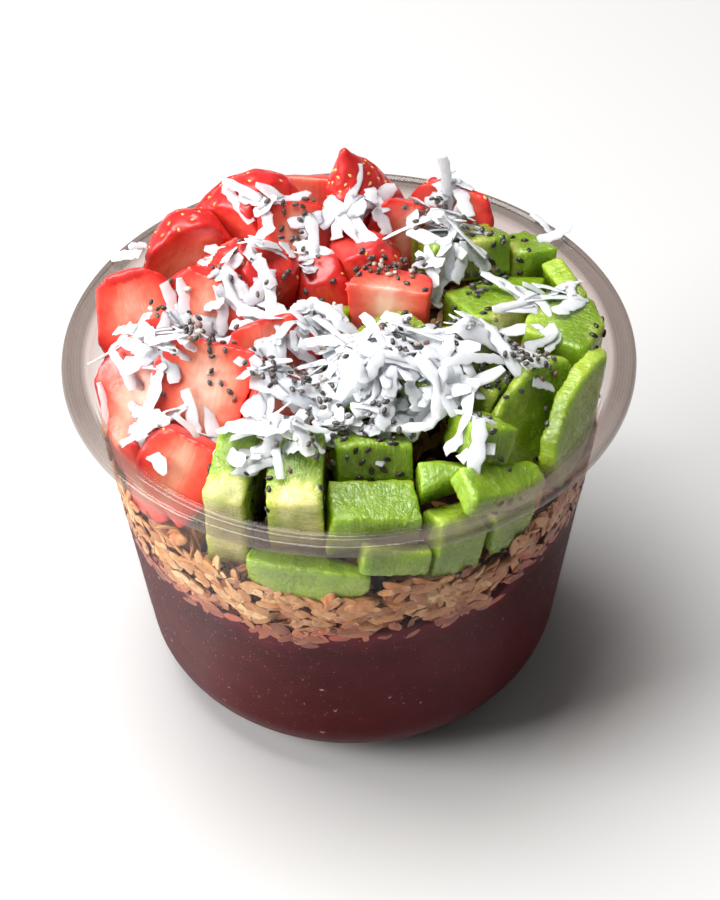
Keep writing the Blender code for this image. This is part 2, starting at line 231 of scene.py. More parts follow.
def turnedMesh(name, profile, sides):
    shape = bmesh.new()
    angles = [math.tau * side / sides for side in range(sides)]
    rings = []
    for r, z in profile[1:-1]:
        rings.append([shape.verts.new((r * math.cos(a), r * math.sin(a), z)) for a in angles])
    for lower, upper in zip(rings, rings[1:]):
        for side in range(sides):
            after = (side + 1) % sides
            shape.faces.new((lower[side], lower[after], upper[after], upper[side]))
    for (r, z), ring in ((profile[0], rings[0]), (profile[-1], rings[-1])):
        pole = shape.verts.new((0.0, 0.0, z))
        for side in range(sides):
            shape.faces.new((pole, ring[side], ring[(side + 1) % sides]))
    bmesh.ops.recalc_face_normals(shape, faces=shape.faces)
    if shape.calc_volume(signed=True) < 0:
        bmesh.ops.reverse_faces(shape, faces=shape.faces)
    mesh = bpy.data.meshes.new(name)
    shape.to_mesh(mesh)
    shape.free()
    return mesh


def tubProfile():
    top, rim = tub["height"], tub["rimRadius"]
    inner = wallRadius(top - 1.2 * mm, tub["wall"])
    offsets = [  # flange, bead by bead, then the rolled lip and the underside
        (inner, -1.2), (inner + 0.12 * mm, -0.75), (inner + 0.45 * mm, -0.25),
        (inner + 0.75 * mm, -0.05), (inner + 1.05 * mm, 0.0), (inner + 1.35 * mm, -0.1),
        (inner + 1.65 * mm, -0.35), (inner + 2.0 * mm, -0.42), (inner + 2.35 * mm, -0.3),
        (inner + 2.65 * mm, -0.42), (rim - 2.1 * mm, -0.45), (rim - 1.75 * mm, -0.32),
        (rim - 1.4 * mm, -0.1), (rim - 1.0 * mm, 0.0), (rim - 0.6 * mm, -0.12),
        (rim - 0.3 * mm, -0.38), (rim - 0.08 * mm, -0.8), (rim, -1.25),
        (rim, -2.0), (rim - 0.12 * mm, -2.2), (rim - 0.45 * mm, -2.2),
        (rim - 0.58 * mm, -2.0), (rim - 0.7 * mm, -1.35), (rim - 1.05 * mm, -1.0),
        (rim - 1.7 * mm, -0.95), (inner + 2.2 * mm, -1.05), (inner + 1.5 * mm, -1.3),
        (wallRadius(top - 2.2 * mm), -2.2),
    ]
    flange = [(radius, top + drop * mm) for radius, drop in offsets]
    inside = [(0.0, tub["wall"])] + cornerArc(tub["wall"], 12)
    outside = list(reversed(cornerArc(0.0, 12))) + [(0.0, 0.0)]
    return inside + flange + outside


def clearPlastic():
    material, tree, shader = startMaterial("clearPlastic")
    tree.nodes.remove(shader)
    spot = objectSpot(tree)
    parts = put(tree, "ShaderNodeSeparateXYZ", {0: spot})
    radius = length2d(tree, parts.outputs[0], parts.outputs[1])
    # milky and grey-brown in the thick flange, nearly clear down the wall
    flange = clamped(tree, maths(tree, "MULTIPLY_ADD", radius, 1 / (1.2 * mm), -53.4 / 1.2))
    height = clamped(tree, maths(tree, "MULTIPLY_ADD", parts.outputs[2], 1 / (16 * mm), -64 / 16))
    rings = maths(tree, "SINE", maths(tree, "MULTIPLY", radius, math.tau / (0.62 * mm)))
    cloud = speckle(tree, spot, 60.0, 3.0)
    milk = maths(tree, "MULTIPLY_ADD", flange, 0.1, maths(tree, "MULTIPLY", height, 0.012))
    milk = maths(tree, "MULTIPLY_ADD", maths(tree, "MULTIPLY", rings, flange), 0.03, milk)
    milk = maths(tree, "MULTIPLY_ADD", cloud, 0.002, milk)
    body = put(tree, "ShaderNodeBsdfDiffuse", {"Color": tone(176, 160, 152)})
    # the flange is smoky, least at the front, and the wall under it carries a little painted reflection of
    # what it holds, pink-grey at the back and paler at the front
    front = clamped(tree, maths(tree, "MULTIPLY_ADD", parts.outputs[1], -1 / (30 * mm), -0.5))
    smoke = maths(tree, "MULTIPLY", flange, maths(tree, "MULTIPLY_ADD", front, -0.78, 1.0))
    smoke = maths(tree, "MULTIPLY", smoke, maths(tree, "MULTIPLY_ADD", rings, 0.09, 0.91))
    # painted reflection: the upper wall is tinted pink-grey at the back, as if it mirrored the fruit and
    # granola inside
    paintedReflectionTint = blend(tree, front, (0.83, 0.765, 0.745, 1.0), (0.95, 0.925, 0.89, 1.0))
    tintWithPaintedLight = blend(tree, height, (0.985, 0.98, 0.975, 1.0), paintedReflectionTint)
    through = blend(tree, smoke, tintWithPaintedLight, (0.5, 0.455, 0.43, 1.0))
    clear = put(tree, "ShaderNodeBsdfTransparent", {"Color": through})
    wavy = bump(tree, speckle(tree, spot, 45.0, 2.0), 0.0004, 0.25)
    shine = put(tree, "ShaderNodeBsdfGlossy", {"Roughness": 0.05, "Normal": wavy})
    # what fills the tub wets its inner face, so only the side towards the air mirrors
    density = maths(tree, "MULTIPLY_ADD", flange, 0.3, 1.16)
    edge = put(tree, "ShaderNodeFresnel", {"IOR": density, "Normal": wavy}).outputs[0]
    outer = maths(tree, "SUBTRACT", 1.0, put(tree, "ShaderNodeNewGeometry").outputs["Backfacing"])
    edge = maths(tree, "MINIMUM", edge, maths(tree, "MULTIPLY_ADD", flange, 0.5, 0.1))
    edge = maths(tree, "MAXIMUM", maths(tree, "SUBTRACT", edge, 0.008), 0.0)
    edge = maths(tree, "MULTIPLY", edge, outer)
    inner = put(tree, "ShaderNodeMixShader", {0: milk, 1: clear.outputs[0], 2: body.outputs[0]})
    whole = put(tree, "ShaderNodeMixShader", {0: edge, 1: inner.outputs[0], 2: shine.outputs[0]})
    tree.links.new(whole.outputs[0], tree.nodes["Material Output"].inputs[0])
    return material


tubPiece = addPiece("tub", turnedMesh("tub", tubProfile(), tub["sides"]), clearPlastic())
print("tub made")


# where the fillings meet the wall, read from the solids

def wallLevels(node, lowest, highest):  # (angle, height) round the wall, angle from -Y towards +X
    found = {}
    for x, y, z in spots(frame["nodes"][node].data):
        if lowest < z < highest and math.hypot(x, y) > wallRadius(z, tub["wall"]) - 1.2 * mm:
            key = round(math.degrees(math.atan2(x, -y)), 1)
            found[key] = max(z, found.get(key, 0.0))
    return sorted(found.items())


def outwardAt(angle):  # the way out through the wall, for an angle from -Y towards +X
    a = math.radians(angle)
    return Vector((math.sin(a), -math.cos(a), 0.0))


def alongWall(outward):
    return -outward.y, outward.x, 0.0


def levelAt(levels, angle):
    marks = np.array(levels)
    return float(np.interp(angle, marks[:, 0], marks[:, 1], period=360))


pureeLevels = wallLevels("acai_puree", 40 * mm, 60 * mm)
granolaLevels = wallLevels("granola_bed", 55 * mm, 80 * mm)


# puree

puree = {"sides": 288, "rows": 70, "intoWall": 0.35 * mm, "topRings": 10}


def pureeEdge(angle):  # the ragged line where granola has sunk into the puree
    a = math.radians(angle)
    fine = noise.noise(Vector((math.sin(a) * 9, math.cos(a) * 9, 0.4)))
    finer = noise.noise(Vector((math.sin(a) * 24, math.cos(a) * 24, 3.7)))
    return levelAt(pureeLevels, angle) + (1.5 * fine + 1.1 * finer) * mm


def pureeMesh():
    shape = bmesh.new()
    inset = tub["wall"] - puree["intoWall"]
    angles = [360.0 * side / puree["sides"] - 180.0 for side in range(puree["sides"])]
    edges = [pureeEdge(angle) for angle in angles]
    rings = []
    for row in range(puree["rows"] + 1):
        share = row / puree["rows"]
        ring = []
        for angle, edge in zip(angles, edges):
            low = 0.4 * mm
            z = low + (edge - low) * share ** 1.3
            r = wallRadius(z, inset)
            a = math.radians(angle)
            r -= 0.1 * mm * max(0.0, noise.noise(Vector((math.sin(a) * 14, z * 260, angle / 40))))
            ring.append(shape.verts.new((r * math.sin(a), -r * math.cos(a), z)))
        rings.append(ring)
    for step in range(1, puree["topRings"]):
        share = 1 - step / puree["topRings"]
        ring = []
        for vert in rings[puree["rows"]]:
            z = vert.co.z + 1.2 * mm * math.sin(math.pi * share) + 1.0 * mm * (1 - share)
            ring.append(shape.verts.new((vert.co.x * share, vert.co.y * share, z)))
        rings.append(ring)
    for lower, upper in zip(rings, rings[1:]):
        for side in range(puree["sides"]):
            after = (side + 1) % puree["sides"]
            shape.faces.new((lower[side], lower[after], upper[after], upper[side]))
    for ring in (rings[0], rings[-1]):
        middle = sum((vert.co for vert in ring), Vector()) / len(ring)
        pole = shape.verts.new(middle)
        for side in range(puree["sides"]):
            shape.faces.new((pole, ring[side], ring[(side + 1) % puree["sides"]]))
    bmesh.ops.recalc_face_normals(shape, faces=shape.faces)
    mesh = bpy.data.meshes.new("puree")
    shape.to_mesh(mesh)
    shape.free()
    depths = [pureeEdge(math.degrees(math.atan2(v.co.x, -v.co.y))) - v.co.z for v in mesh.vertices]
    storeValues(mesh, "underEdge", np.array(depths) / mm)
    return mesh


def pureeFinish():
    material, tree, shader = startMaterial("acaiPuree")
    spot = objectSpot(tree)
    broad = speckle(tree, spot, 28.0, 3.0, 0.55)
    grain = speckle(tree, spot, 260.0, 3.0, 0.6)
    streaks = put(tree, "ShaderNodeMapping", {0: spot, 3: (1.0, 1.0, 3.5)}).outputs[0]
    streak = speckle(tree, streaks, 90.0, 4.0, 0.6)
    base = ramp(tree, broad, ((0.3, tone(56, 5, 11)), (0.5, tone(66, 8, 15)), (0.72, tone(82, 14, 24))))
    low = put(tree, "ShaderNodeSeparateXYZ", {0: spot}).outputs[2]
    low = clamped(tree, maths(tree, "MULTIPLY_ADD", low, -1 / (38 * mm), 1.0))
    base = blend(tree, maths(tree, "MULTIPLY", low, 0.6), base, tone(76, 10, 10))
    # a mauve bloom just under the granola, where crumbs and froth have mixed in
    froth = maths(tree, "MULTIPLY_ADD", streak, 1.6, 0.1)
    bloom = maths(tree, "MULTIPLY_ADD", attribute(tree, "underEdge"), -1 / 6, froth)
    bloom = clamped(tree, maths(tree, "MULTIPLY", bloom, 0.75))
    base = blend(tree, bloom, base, tone(108, 34, 50))
    base = blend(tree, ramp(tree, streak, ((0.45, 0.0), (0.75, 0.3))), base, tone(98, 22, 34))
    base = blend(tree, ramp(tree, grain, ((0.66, 0.0), (0.8, 0.2))), base, tone(118, 44, 56))
    feed(tree, shader, Base_Color=base, Roughness=0.6, Specular_IOR_Level=0.05)
    return material


pureePiece = addPiece("acai_puree_fill", pureeMesh(), pureeFinish())
print("puree made")


# cut fruit

kiwiFruit = {"voxel": 0.62 * mm}
berryFruit = {
    "voxel": 0.62 * mm,
    "seedSpacing": 3.3,
    "dimple": 0.6 * mm,
    "dimpleWidth": 0.95 * mm,
    "tip": 0.75,
}

# middle, turn and window of each kiwi piece, the same as its solid's: the window is cut from a kiwi whose
# core lies on Z
kiwiPieces = {
    "kiwi_front_left_block": ((-23.0, -34.5, 74.0), (16, 3, -12), (-6, 6, -1, 17, -14, 11)),
    "kiwi_front_seeded_block": ((-10.0, -36.5, 74.5), (20, 0, -3), (-6.6, 6.6, -2, 17, -14, 11)),
    "kiwi_wall_half_moon": ((-9.5, -47.0, 63.0), (82, 0, -11), (-13, 13, -23, -10.5, -3.5, 3.5)),
    "kiwi_front_glossy_block": ((4.5, -40.5, 73.0), (12, 6, 6), (-9.5, 9.5, -3, 12, -6, 6)),
    "kiwi_front_arch": ((19.5, -35.0, 77.0), (-62, 4, 10), (-9, 9, 14, 23, -3.5, 3.5)),
    "kiwi_front_corner": ((27.0, -37.0, 76.5), (24, 22, 36), (-10, 10, 5, 21, -6, 5)),
    "kiwi_rounded": ((25.0, -30.0, 81.5), (-24, 20, 18), (-4.8, 4.8, 9, 23, -6, 6)),
    "kiwi_dark_slice": ((35.5, -18.5, 76.5), (70, -12, 50), (-15, 15, 0, 23, -4.8, 4.8)),
    "kiwi_crescent": ((44.5, -14.0, 77.0), (76, -14, 62), (-15, 15, 8, 23, -3.5, 3.5)),
    "kiwi_right_chunk": ((43.5, 6.0, 77.5), (4, 6, 66), (-10.5, 10.5, 6, 23, -6.5, 6.5)),
    "kiwi_back_cube": ((38.5, 29.5, 78.5), (-12, 6, 22), (4, 14, -5.5, 5.5, -5.5, 5.5)),
    "kiwi_wall_slice": ((45.5, 22.0, 76.0), (82, 0, 112), (-8, 8, 9, 22, -2.5, 2.5)),
    "kiwi_middle_shade": ((4.0, -28.0, 78.5), (-18, 0, 8), (-8, 8, 3, 19, -6, 6)),
    "kiwi_middle_right": ((21.0, -6.0, 84.0), (-24, 12, 22), (-8, 8, 4, 20, -5, 5)),
    "kiwi_middle_left": ((-3.0, 3.5, 80.5), (-26, -12, -24), (-7, 7, 5, 20, -6, 6)),
    "kiwi_middle": ((9.0, -15.5, 83.0), (-22, 5, -10), (-9, 9, 4, 20, -6, 6)),
    "kiwi_back_quarter": ((23.5, 29.5, 81.0), (-22, 8, 20), (-9, 9, 4, 20, -5, 6)),
    "kiwi_right_low": ((29.5, 11.0, 78.0), (-12, 8, 28), (-8, 8, 3, 18, -6, 6)),
    "kiwi_centre": ((9.5, -1.0, 80.5), (-14, -8, 30), (-7, 7, 4, 18, -6, 6)),
    "kiwi_right_middle": ((27.5, -16.0, 81.0), (-22, 10, -30), (-7, 7, 4, 19, -5.5, 5.5)),
    "kiwi_right_gap": ((33.5, 20.0, 76.5), (-10, -8, -20), (-7, 7, 4, 18, -6, 6)),
    "kiwi_wall_right": ((20.5, -43.5, 68.5), (70, 8, 24), (-6, 6, 8, 22, -4, 4)),
    "kiwi_wall_corner": ((31.5, -38.0, 69.0), (64, 0, 38), (-5.5, 5.5, 8, 20, -3.5, 3.5)),
    "kiwi_wall_small": ((8.0, -46.5, 67.0), (78, 12, 8), (-7, 7, 12, 20, -3, 3)),
}

# middle, turn, largest radius, length and window of each strawberry piece, the same as its solid's: the
# window is cut from a berry with its tip down
berryPieces = {
    "strawberry_left_half": ((-42.5, 10.5, 77.0), (-30, -10, 12), 11.0, 29, (-1, 1, 0, 1, 0, 1)),
    "strawberry_big_half": ((-29.5, -16.0, 79.0), (-40, 8, -12), 13.0, 31, (-1, 1, 0, 0.9, 0, 0.95)),
    "strawberry_back_left": ((-20.5, 40.5, 83.0), (16, 66, 10), 11.5, 28, (-1, 1, -1, 1, 0.2, 1)),
    "strawberry_back_small": ((-36.5, 34.0, 78.5), (12, 50, 24), 10.5, 26, (-1, 1, -0.6, 1, 0, 1)),
    "strawberry_back_slice": ((-12.5, 32.0, 81.0), (-34, 14, 12), 9.5, 24, (-1, 1, 0, 0.9, 0.05, 0.95)),
    "strawberry_left_slice": ((-26.5, 28.0, 77.5), (-34, -30, 4), 9.5, 24, (-1, 1, 0, 0.85, 0.05, 0.95)),
    "strawberry_shaded": ((-20.5, 18.5, 80.0), (28, 24, 16), 11.0, 26, (-1, 1, -1, 0.3, 0.05, 1)),
    "strawberry_tall": ((2.0, 42.5, 90.0), (186, -13, 8), 11.5, 38, (-1, 1, -1, 0.8, 0, 0.67)),
    "strawberry_back_wedge": ((10.5, 33.0, 80.5), (-20, 24, 14), 9.5, 24, (-1, 1, -0.3, 0.9, 0.05, 0.95)),
    "strawberry_centre_block": ((7.5, 10.0, 83.0), (-12, 4, -8), 12.0, 30, (-0.8, 0.75, -0.3, 0.8, 0.3, 0.75)),
    "strawberry_centre_low": ((-4.5, 20.5, 74.0), (14, -12, 10), 11.0, 26, (-1, 1, -1, 0.4, 0, 1)),
    "strawberry_back_pale": ((-9.0, 46.0, 77.5), (-26, 0, -8), 11.0, 26, (-0.85, 0.85, 0, 0.7, 0.1, 0.9)),
    "strawberry_back_right": ((21.5, 43.5, 76.0), (-26, 10, -20), 10.5, 26, (-1, 1, 0, 0.85, 0.05, 0.95)),
    "strawberry_left_low": ((-42.5, -10.0, 73.5), (-40, 10, -34), 12.0, 29, (-1, 1, 0, 0.9, 0, 0.95)),
    "strawberry_rim_low": ((-35.0, -29.5, 72.0), (-30, 16, -24), 9.5, 25, (-1, 1, -0.1, 0.9, 0, 0.95)),
    "strawberry_wall_low": ((-42.0, -24.5, 67.0), (-24, 36, -58), 10.0, 25, (-1, 1, -0.2, 0.9, 0, 1)),
    "strawberry_left_gap": ((-30.0, 13.0, 78.0), (-28, 14, -20), 10.5, 25, (-1, 1, -0.2, 0.9, 0.05, 0.95)),
    "strawberry_left_side": ((-38.5, 0.5, 75.5), (-30, 20, 10), 9.5, 24, (-1, 1, -0.2, 0.9, 0.05, 0.95)),
    "strawberry_back_gap": ((4.0, 25.0, 76.5), (-16, -14, 12), 10.0, 25, (-1, 1, -0.6, 0.8, 0.05, 0.95)),
    "strawberry_middle_left": ((-14.0, -8.0, 80.5), (-34, -10, 10), 11.5, 28, (-1, 1, -0.1, 0.9, 0.05, 0.95)),
    "strawberry_middle_front": ((-15.0, -18.0, 77.5), (-24, 12, 4), 9.5, 23, (-1, 1, -0.3, 0.8, 0.05, 0.95)),
}


def finerCopy(node, voxel, smoothing):  # an even, softly rounded copy of a solid
    shape = bmesh.new()
    shape.from_mesh(frame["nodes"][node].data)
    bmesh.ops.remove_doubles(shape, verts=shape.verts, dist=1e-6)
    mesh = bpy.data.meshes.new("rough")
    shape.to_mesh(mesh)
    shape.free()
    thing = bpy.data.objects.new("rough", mesh)
    bpy.context.scene.collection.objects.link(thing)
    even = thing.modifiers.new("even", "REMESH")
    even.mode = "VOXEL"
    even.voxel_size = voxel
    soft = thing.modifiers.new("soft", "SMOOTH")
    soft.factor = 0.5
    soft.iterations = smoothing
    fine = evaluatedMesh(thing)
    bpy.data.objects.remove(thing, do_unlink=True)
    bpy.data.meshes.remove(mesh)
    return fine


def fruitPlaces(places, middle, turn, windowMiddle):  # places in the whole fruit's own frame, in millimetres
    angles = Euler([math.radians(angle) for angle in turn], "XYZ")
    spin = np.array(angles.to_matrix())
    return (places / mm - np.array(middle)) @ spin + np.array(windowMiddle)


def kiwiFinish():
    material, tree, shader = startMaterial("kiwiFlesh")
    place = attribute(tree, "fruitPlace", "Vector")
    parts = put(tree, "ShaderNodeSeparateXYZ", {0: place})
    x, y, z = parts.outputs
    angle = maths(tree, "ARCTAN2", y, x)
    radius = length2d(tree, x, y)
    fan = put(tree, "ShaderNodeCombineXYZ", {0: maths(tree, "MULTIPLY", angle, 19.0),
                                             1: maths(tree, "MULTIPLY", radius, 0.09),
                                             2: maths(tree, "MULTIPLY", z, 0.12)}).outputs[0]
    streak = speckle(tree, fan, 1.0, 2.5, 0.55)
    wobble = speckle(tree, fan, 0.32, 1.0)
    reach = maths(tree, "MULTIPLY_ADD", wobble, 3.0, maths(tree, "SUBTRACT", radius, 1.5))
    share = maths(tree, "DIVIDE", reach, 24.0)
    spot = objectSpot(tree)
    cloud = speckle(tree, spot, 110.0, 3.0)
    flesh = ramp(tree, share, (
        (0.12, tone(226, 218, 150)), (0.19, tone(206, 208, 104)), (0.26, tone(146, 172, 34)),
        (0.42, tone(126, 158, 22)), (0.74, tone(148, 180, 34)), (0.9, tone(168, 196, 50)),
        (1.0, tone(196, 214, 96))))
    pale = ramp(tree, share, (
        (0.18, tone(228, 222, 160)), (0.26, tone(202, 210, 108)), (0.5, tone(170, 194, 62)),
        (0.95, tone(190, 208, 92))))
    colour = blend(tree, ramp(tree, streak, ((0.54, 0.0), (0.68, 0.6))), flesh, pale)
    colour = blend(tree, ramp(tree, cloud, ((0.35, 0.38), (0.58, 0.0))), colour, tone(98, 132, 12))
    wrinkle = speckle(tree, spot, 900.0, 3.0, 0.6, 0.6)
    deep = speckle(tree, spot, 62.0, 2.0)
    colour = blend(tree, ramp(tree, deep, ((0.36, 0.28), (0.54, 0.0))), colour, tone(84, 122, 10))
    colour = blend(tree, ramp(tree, wrinkle, ((0.62, 0.0), (0.78, 0.5))), colour, tone(222, 234, 160))
    wide = speckle(tree, spot, 260.0, 2.0)
    height = maths(tree, "MULTIPLY_ADD", streak, 0.7, maths(tree, "MULTIPLY_ADD", wide, 0.8, wrinkle))
    wet = bump(tree, maths(tree, "MULTIPLY_ADD", wrinkle, 1.4, wide), 0.0005, 0.9)
    feed(tree, shader, Base_Color=colour, Roughness=ramp(tree, wide, ((0.35, 0.2), (0.7, 0.42))),
         Specular_IOR_Level=0.5, Subsurface_Weight=0.9, Subsurface_Radius=(0.0044, 0.0056, 0.0011),
         Subsurface_Scale=1.0, Coat_Weight=0.7, Coat_Roughness=0.07, Coat_Normal=wet,
         Normal=bump(tree, height, 0.0005, 0.8))
    return material


def berryFinish():
    material, tree, shader = startMaterial("strawberryFlesh")
    place = attribute(tree, "fruitPlace", "Vector")
    depth = attribute(tree, "underSkin")
    parts = put(tree, "ShaderNodeSeparateXYZ", {0: place})
    x, y, z = parts.outputs
    angle = maths(tree, "ARCTAN2", y, x)
    fan = put(tree, "ShaderNodeCombineXYZ", {0: maths(tree, "MULTIPLY", angle, 5.0), 1: 0.0,
                                             2: maths(tree, "MULTIPLY", z, 0.22)}).outputs[0]
    streak = speckle(tree, fan, 1.3, 2.0)
    spot = objectSpot(tree)
    cloud = speckle(tree, spot, 120.0, 3.0)
    uneven = maths(tree, "MULTIPLY_ADD", streak, 3.4, maths(tree, "MULTIPLY_ADD", cloud, 2.6, -3.0))
    inside = maths(tree, "MULTIPLY", maths(tree, "LESS_THAN", 0.9, depth), uneven)
    share = maths(tree, "DIVIDE", maths(tree, "ADD", depth, inside), 10.4)
    colour = ramp(tree, share, (
        (0.0, tone(196, 36, 36)), (0.08, tone(206, 42, 40)), (0.17, tone(226, 66, 52)),
        (0.34, tone(230, 82, 64)), (0.54, tone(236, 112, 88)), (0.76, tone(242, 156, 130)),
        (1.0, tone(247, 198, 176))))
    colour = blend(tree, ramp(tree, cloud, ((0.32, 0.4), (0.55, 0.0))), colour, tone(206, 44, 36))
    fine = speckle(tree, spot, 1000.0, 2.0)
    wide = speckle(tree, spot, 300.0, 2.0)
    height = maths(tree, "MULTIPLY_ADD", wide, 0.9, fine)
    feed(tree, shader, Base_Color=colour, Roughness=ramp(tree, wide, ((0.35, 0.28), (0.7, 0.5))),
         Specular_IOR_Level=0.55, Subsurface_Weight=0.35, Subsurface_Radius=(0.0036, 0.0012, 0.0008),
         Subsurface_Scale=1.0, Normal=bump(tree, height, 0.0002, 0.4))
    return material


def berryRadius(radius, length, height, tip):  # outline of a whole berry, in millimetres
    share = np.clip(height / length, 0.0, 1.0)
    shoulder = np.sqrt(np.maximum(0.0, 1 - (np.maximum(share - 0.62, 0) / 0.42) ** 2))
    return radius * (1 - (1 - share) ** 2.6) ** tip * shoulder


def seedLattice(radius, length, tip):  # seeds in a spiral from tip to shoulder, in the berry's own frame
    count = int(2 * math.pi * radius * length * 0.8 / berryFruit["seedSpacing"] ** 2 / 1.1)
    golden = math.pi * (3 - math.sqrt(5))
    lattice = []
    for step in range(count):
        height = length * (0.03 + 0.95 * (step + 0.5) / count)
        across = float(berryRadius(radius, length, height, tip))
        if tip > 0.9 and across < 3.2:
            continue
        lattice.append((across * math.cos(step * golden), across * math.sin(step * golden), height))
    return np.array(lattice)


pointedTips = {"strawberry_tall": 1.0}
coreShift = {"kiwi_front_glossy_block": (0, 10, 0), "kiwi_middle_shade": (0, 4, 0), "kiwi_middle": (0, 3, 0)}
fruitMeshes = []
berrySeeds = []
kiwiSeeds = []


def makeKiwi(node, number, finish):
    middle, turn, window = kiwiPieces[node]
    mesh = finerCopy(node, kiwiFruit["voxel"], 5)
    places, facing = spots(mesh), normalsOf(mesh)
    lumps = unevenness(places, 170.0, number) * 0.42 + unevenness(places, 650.0, number + 40) * 0.14
    places += facing * (lumps * mm)[:, None]
    moveSpots(mesh, places)
    own = fruitPlaces(places, middle, turn, [(window[i] + window[i + 1]) / 2 for i in (0, 2, 4)])
    own += np.array(coreShift.get(node, (0, 0, 0)))
    storeValues(mesh, "fruitPlace", own)
    piece = addPiece(node + "_fruit", mesh, finish)
    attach(piece, "root")
    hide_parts(node)
    fruitMeshes.append(mesh)
    random.seed(900 + number)
    reach = np.hypot(own[:, 0], own[:, 1])
    ring = np.nonzero((reach > 5.6) & (reach < 8.4))[0]
    chosen = []
    for index in random.sample(list(ring), min(len(ring), 160)):
        if all(np.linalg.norm(places[index] - places[other]) > 2.3 * mm for other in chosen):
            chosen.append(index)
    for index in chosen[:14]:
        kiwiSeeds.append((Vector(places[index]), Vector(facing[index])))


def makeBerry(node, number, finish):
    middle, turn, radius, length, part = berryPieces[node]
    sizes = (radius,) * 4 + (length,) * 2
    window = [share * size for share, size in zip(part, sizes)]
    windowMiddle = [(window[i] + window[i + 1]) / 2 for i in (0, 2, 4)]
    mesh = finerCopy(node, berryFruit["voxel"], 5)
    places, facing = spots(mesh), normalsOf(mesh)
    lumps = unevenness(places, 150.0, number + 80) * 0.4 + unevenness(places, 600.0, number + 120) * 0.08
    places += facing * (lumps * mm)[:, None]
    own = fruitPlaces(places, middle, turn, windowMiddle)
    tip = pointedTips.get(node, berryFruit["tip"])
    outline = berryRadius(radius, length, own[:, 2], tip)
    depth = outline - np.hypot(own[:, 0], own[:, 1])
    atTop = own[:, 2] > length * 0.93
    depth = np.where(atTop, np.minimum(depth, 1.2), depth)
    storeValues(mesh, "fruitPlace", own)
    storeValues(mesh, "underSkin", np.clip(depth, 0.0, 12.0))
    tree = KDTree(len(places))
    for index, place in enumerate(own):
        tree.insert(place, index)
    tree.balance()
    width = berryFruit["dimpleWidth"] / mm
    for seed in seedLattice(radius, length, tip):
        near = tree.find_range(seed, width * 2)
        if not near or min(gap for _, _, gap in near) > 0.55:
            continue
        nearest = min(near, key=lambda item: item[2])[1]
        if depth[nearest] > 0.7:
            continue
        for _, index, gap in near:
            places[index] -= facing[index] * berryFruit["dimple"] * math.exp(-(gap / width) ** 2)
        berrySeeds.append((Vector(places[nearest]), Vector(facing[nearest])))
    moveSpots(mesh, places)
    piece = addPiece(node + "_fruit", mesh, finish)
    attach(piece, "root")
    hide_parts(node)
    fruitMeshes.append(mesh)


kiwiMaterial, berryMaterial = kiwiFinish(), berryFinish()
for number, node in enumerate(kiwiPieces):
    makeKiwi(node, number, kiwiMaterial)
for number, node in enumerate(berryPieces):
    makeBerry(node, number, berryMaterial)
print("fruit made:", len(fruitMeshes), "pieces,", sum(len(mesh.polygons) for mesh in fruitMeshes), "faces")


# scattering: one node tree that puts shapes on points that carry their own turn, size and pick

def scatterTree():
    tree = bpy.data.node_groups.new("scatter", "GeometryNodeTree")
    for name, kind in (("Points", "Geometry"), ("Shapes", "Collection"), ("Spread", "Float"), ("Seed", "Int"),
                       ("Finish", "Material")):
        tree.interface.new_socket(name, in_out="INPUT", socket_type="NodeSocket" + kind)
    tree.interface.new_socket("Geometry", in_out="OUTPUT", socket_type="NodeSocketGeometry")
    given = put(tree, "NodeGroupInput").outputs
    shapes = put(tree, "GeometryNodeCollectionInfo", {0: given["Shapes"], 1: True, 2: True}).outputs[0]
    turn = put(tree, "GeometryNodeInputNamedAttribute", {0: "turn"}, data_type="FLOAT_VECTOR").outputs[0]
    turn = put(tree, "FunctionNodeEulerToRotation", {0: turn}).outputs[0]
    size = put(tree, "GeometryNodeInputNamedAttribute", {0: "size"}, data_type="FLOAT_VECTOR").outputs[0]
    pick = put(tree, "GeometryNodeInputNamedAttribute", {0: "pick"}, data_type="INT").outputs[0]
    feeds = {"Points": given["Points"], "Instance": shapes, "Pick Instance": True, "Instance Index": pick,
             "Rotation": turn, "Scale": size}
    placed = put(tree, "GeometryNodeInstanceOnPoints", feeds).outputs[0]
    chance = put(tree, "FunctionNodeRandomValue", {2: 0.0, 3: given["Spread"], 8: given["Seed"]}).outputs[1]
    keep = put(tree, "GeometryNodeStoreNamedAttribute", {"Geometry": placed, "Name": "chance"},
               data_type="FLOAT", domain="INSTANCE")
    value = [socket for socket in keep.inputs if socket.name == "Value" and socket.enabled][0]
    tree.links.new(chance, value)
    real = put(tree, "GeometryNodeRealizeInstances", {0: keep.outputs[0]}).outputs[0]
    done = put(tree, "GeometryNodeSetMaterial", {"Geometry": real, "Material": given["Finish"]}).outputs[0]
    put(tree, "NodeGroupOutput", {0: done})
    return tree


scatterNodes = scatterTree()


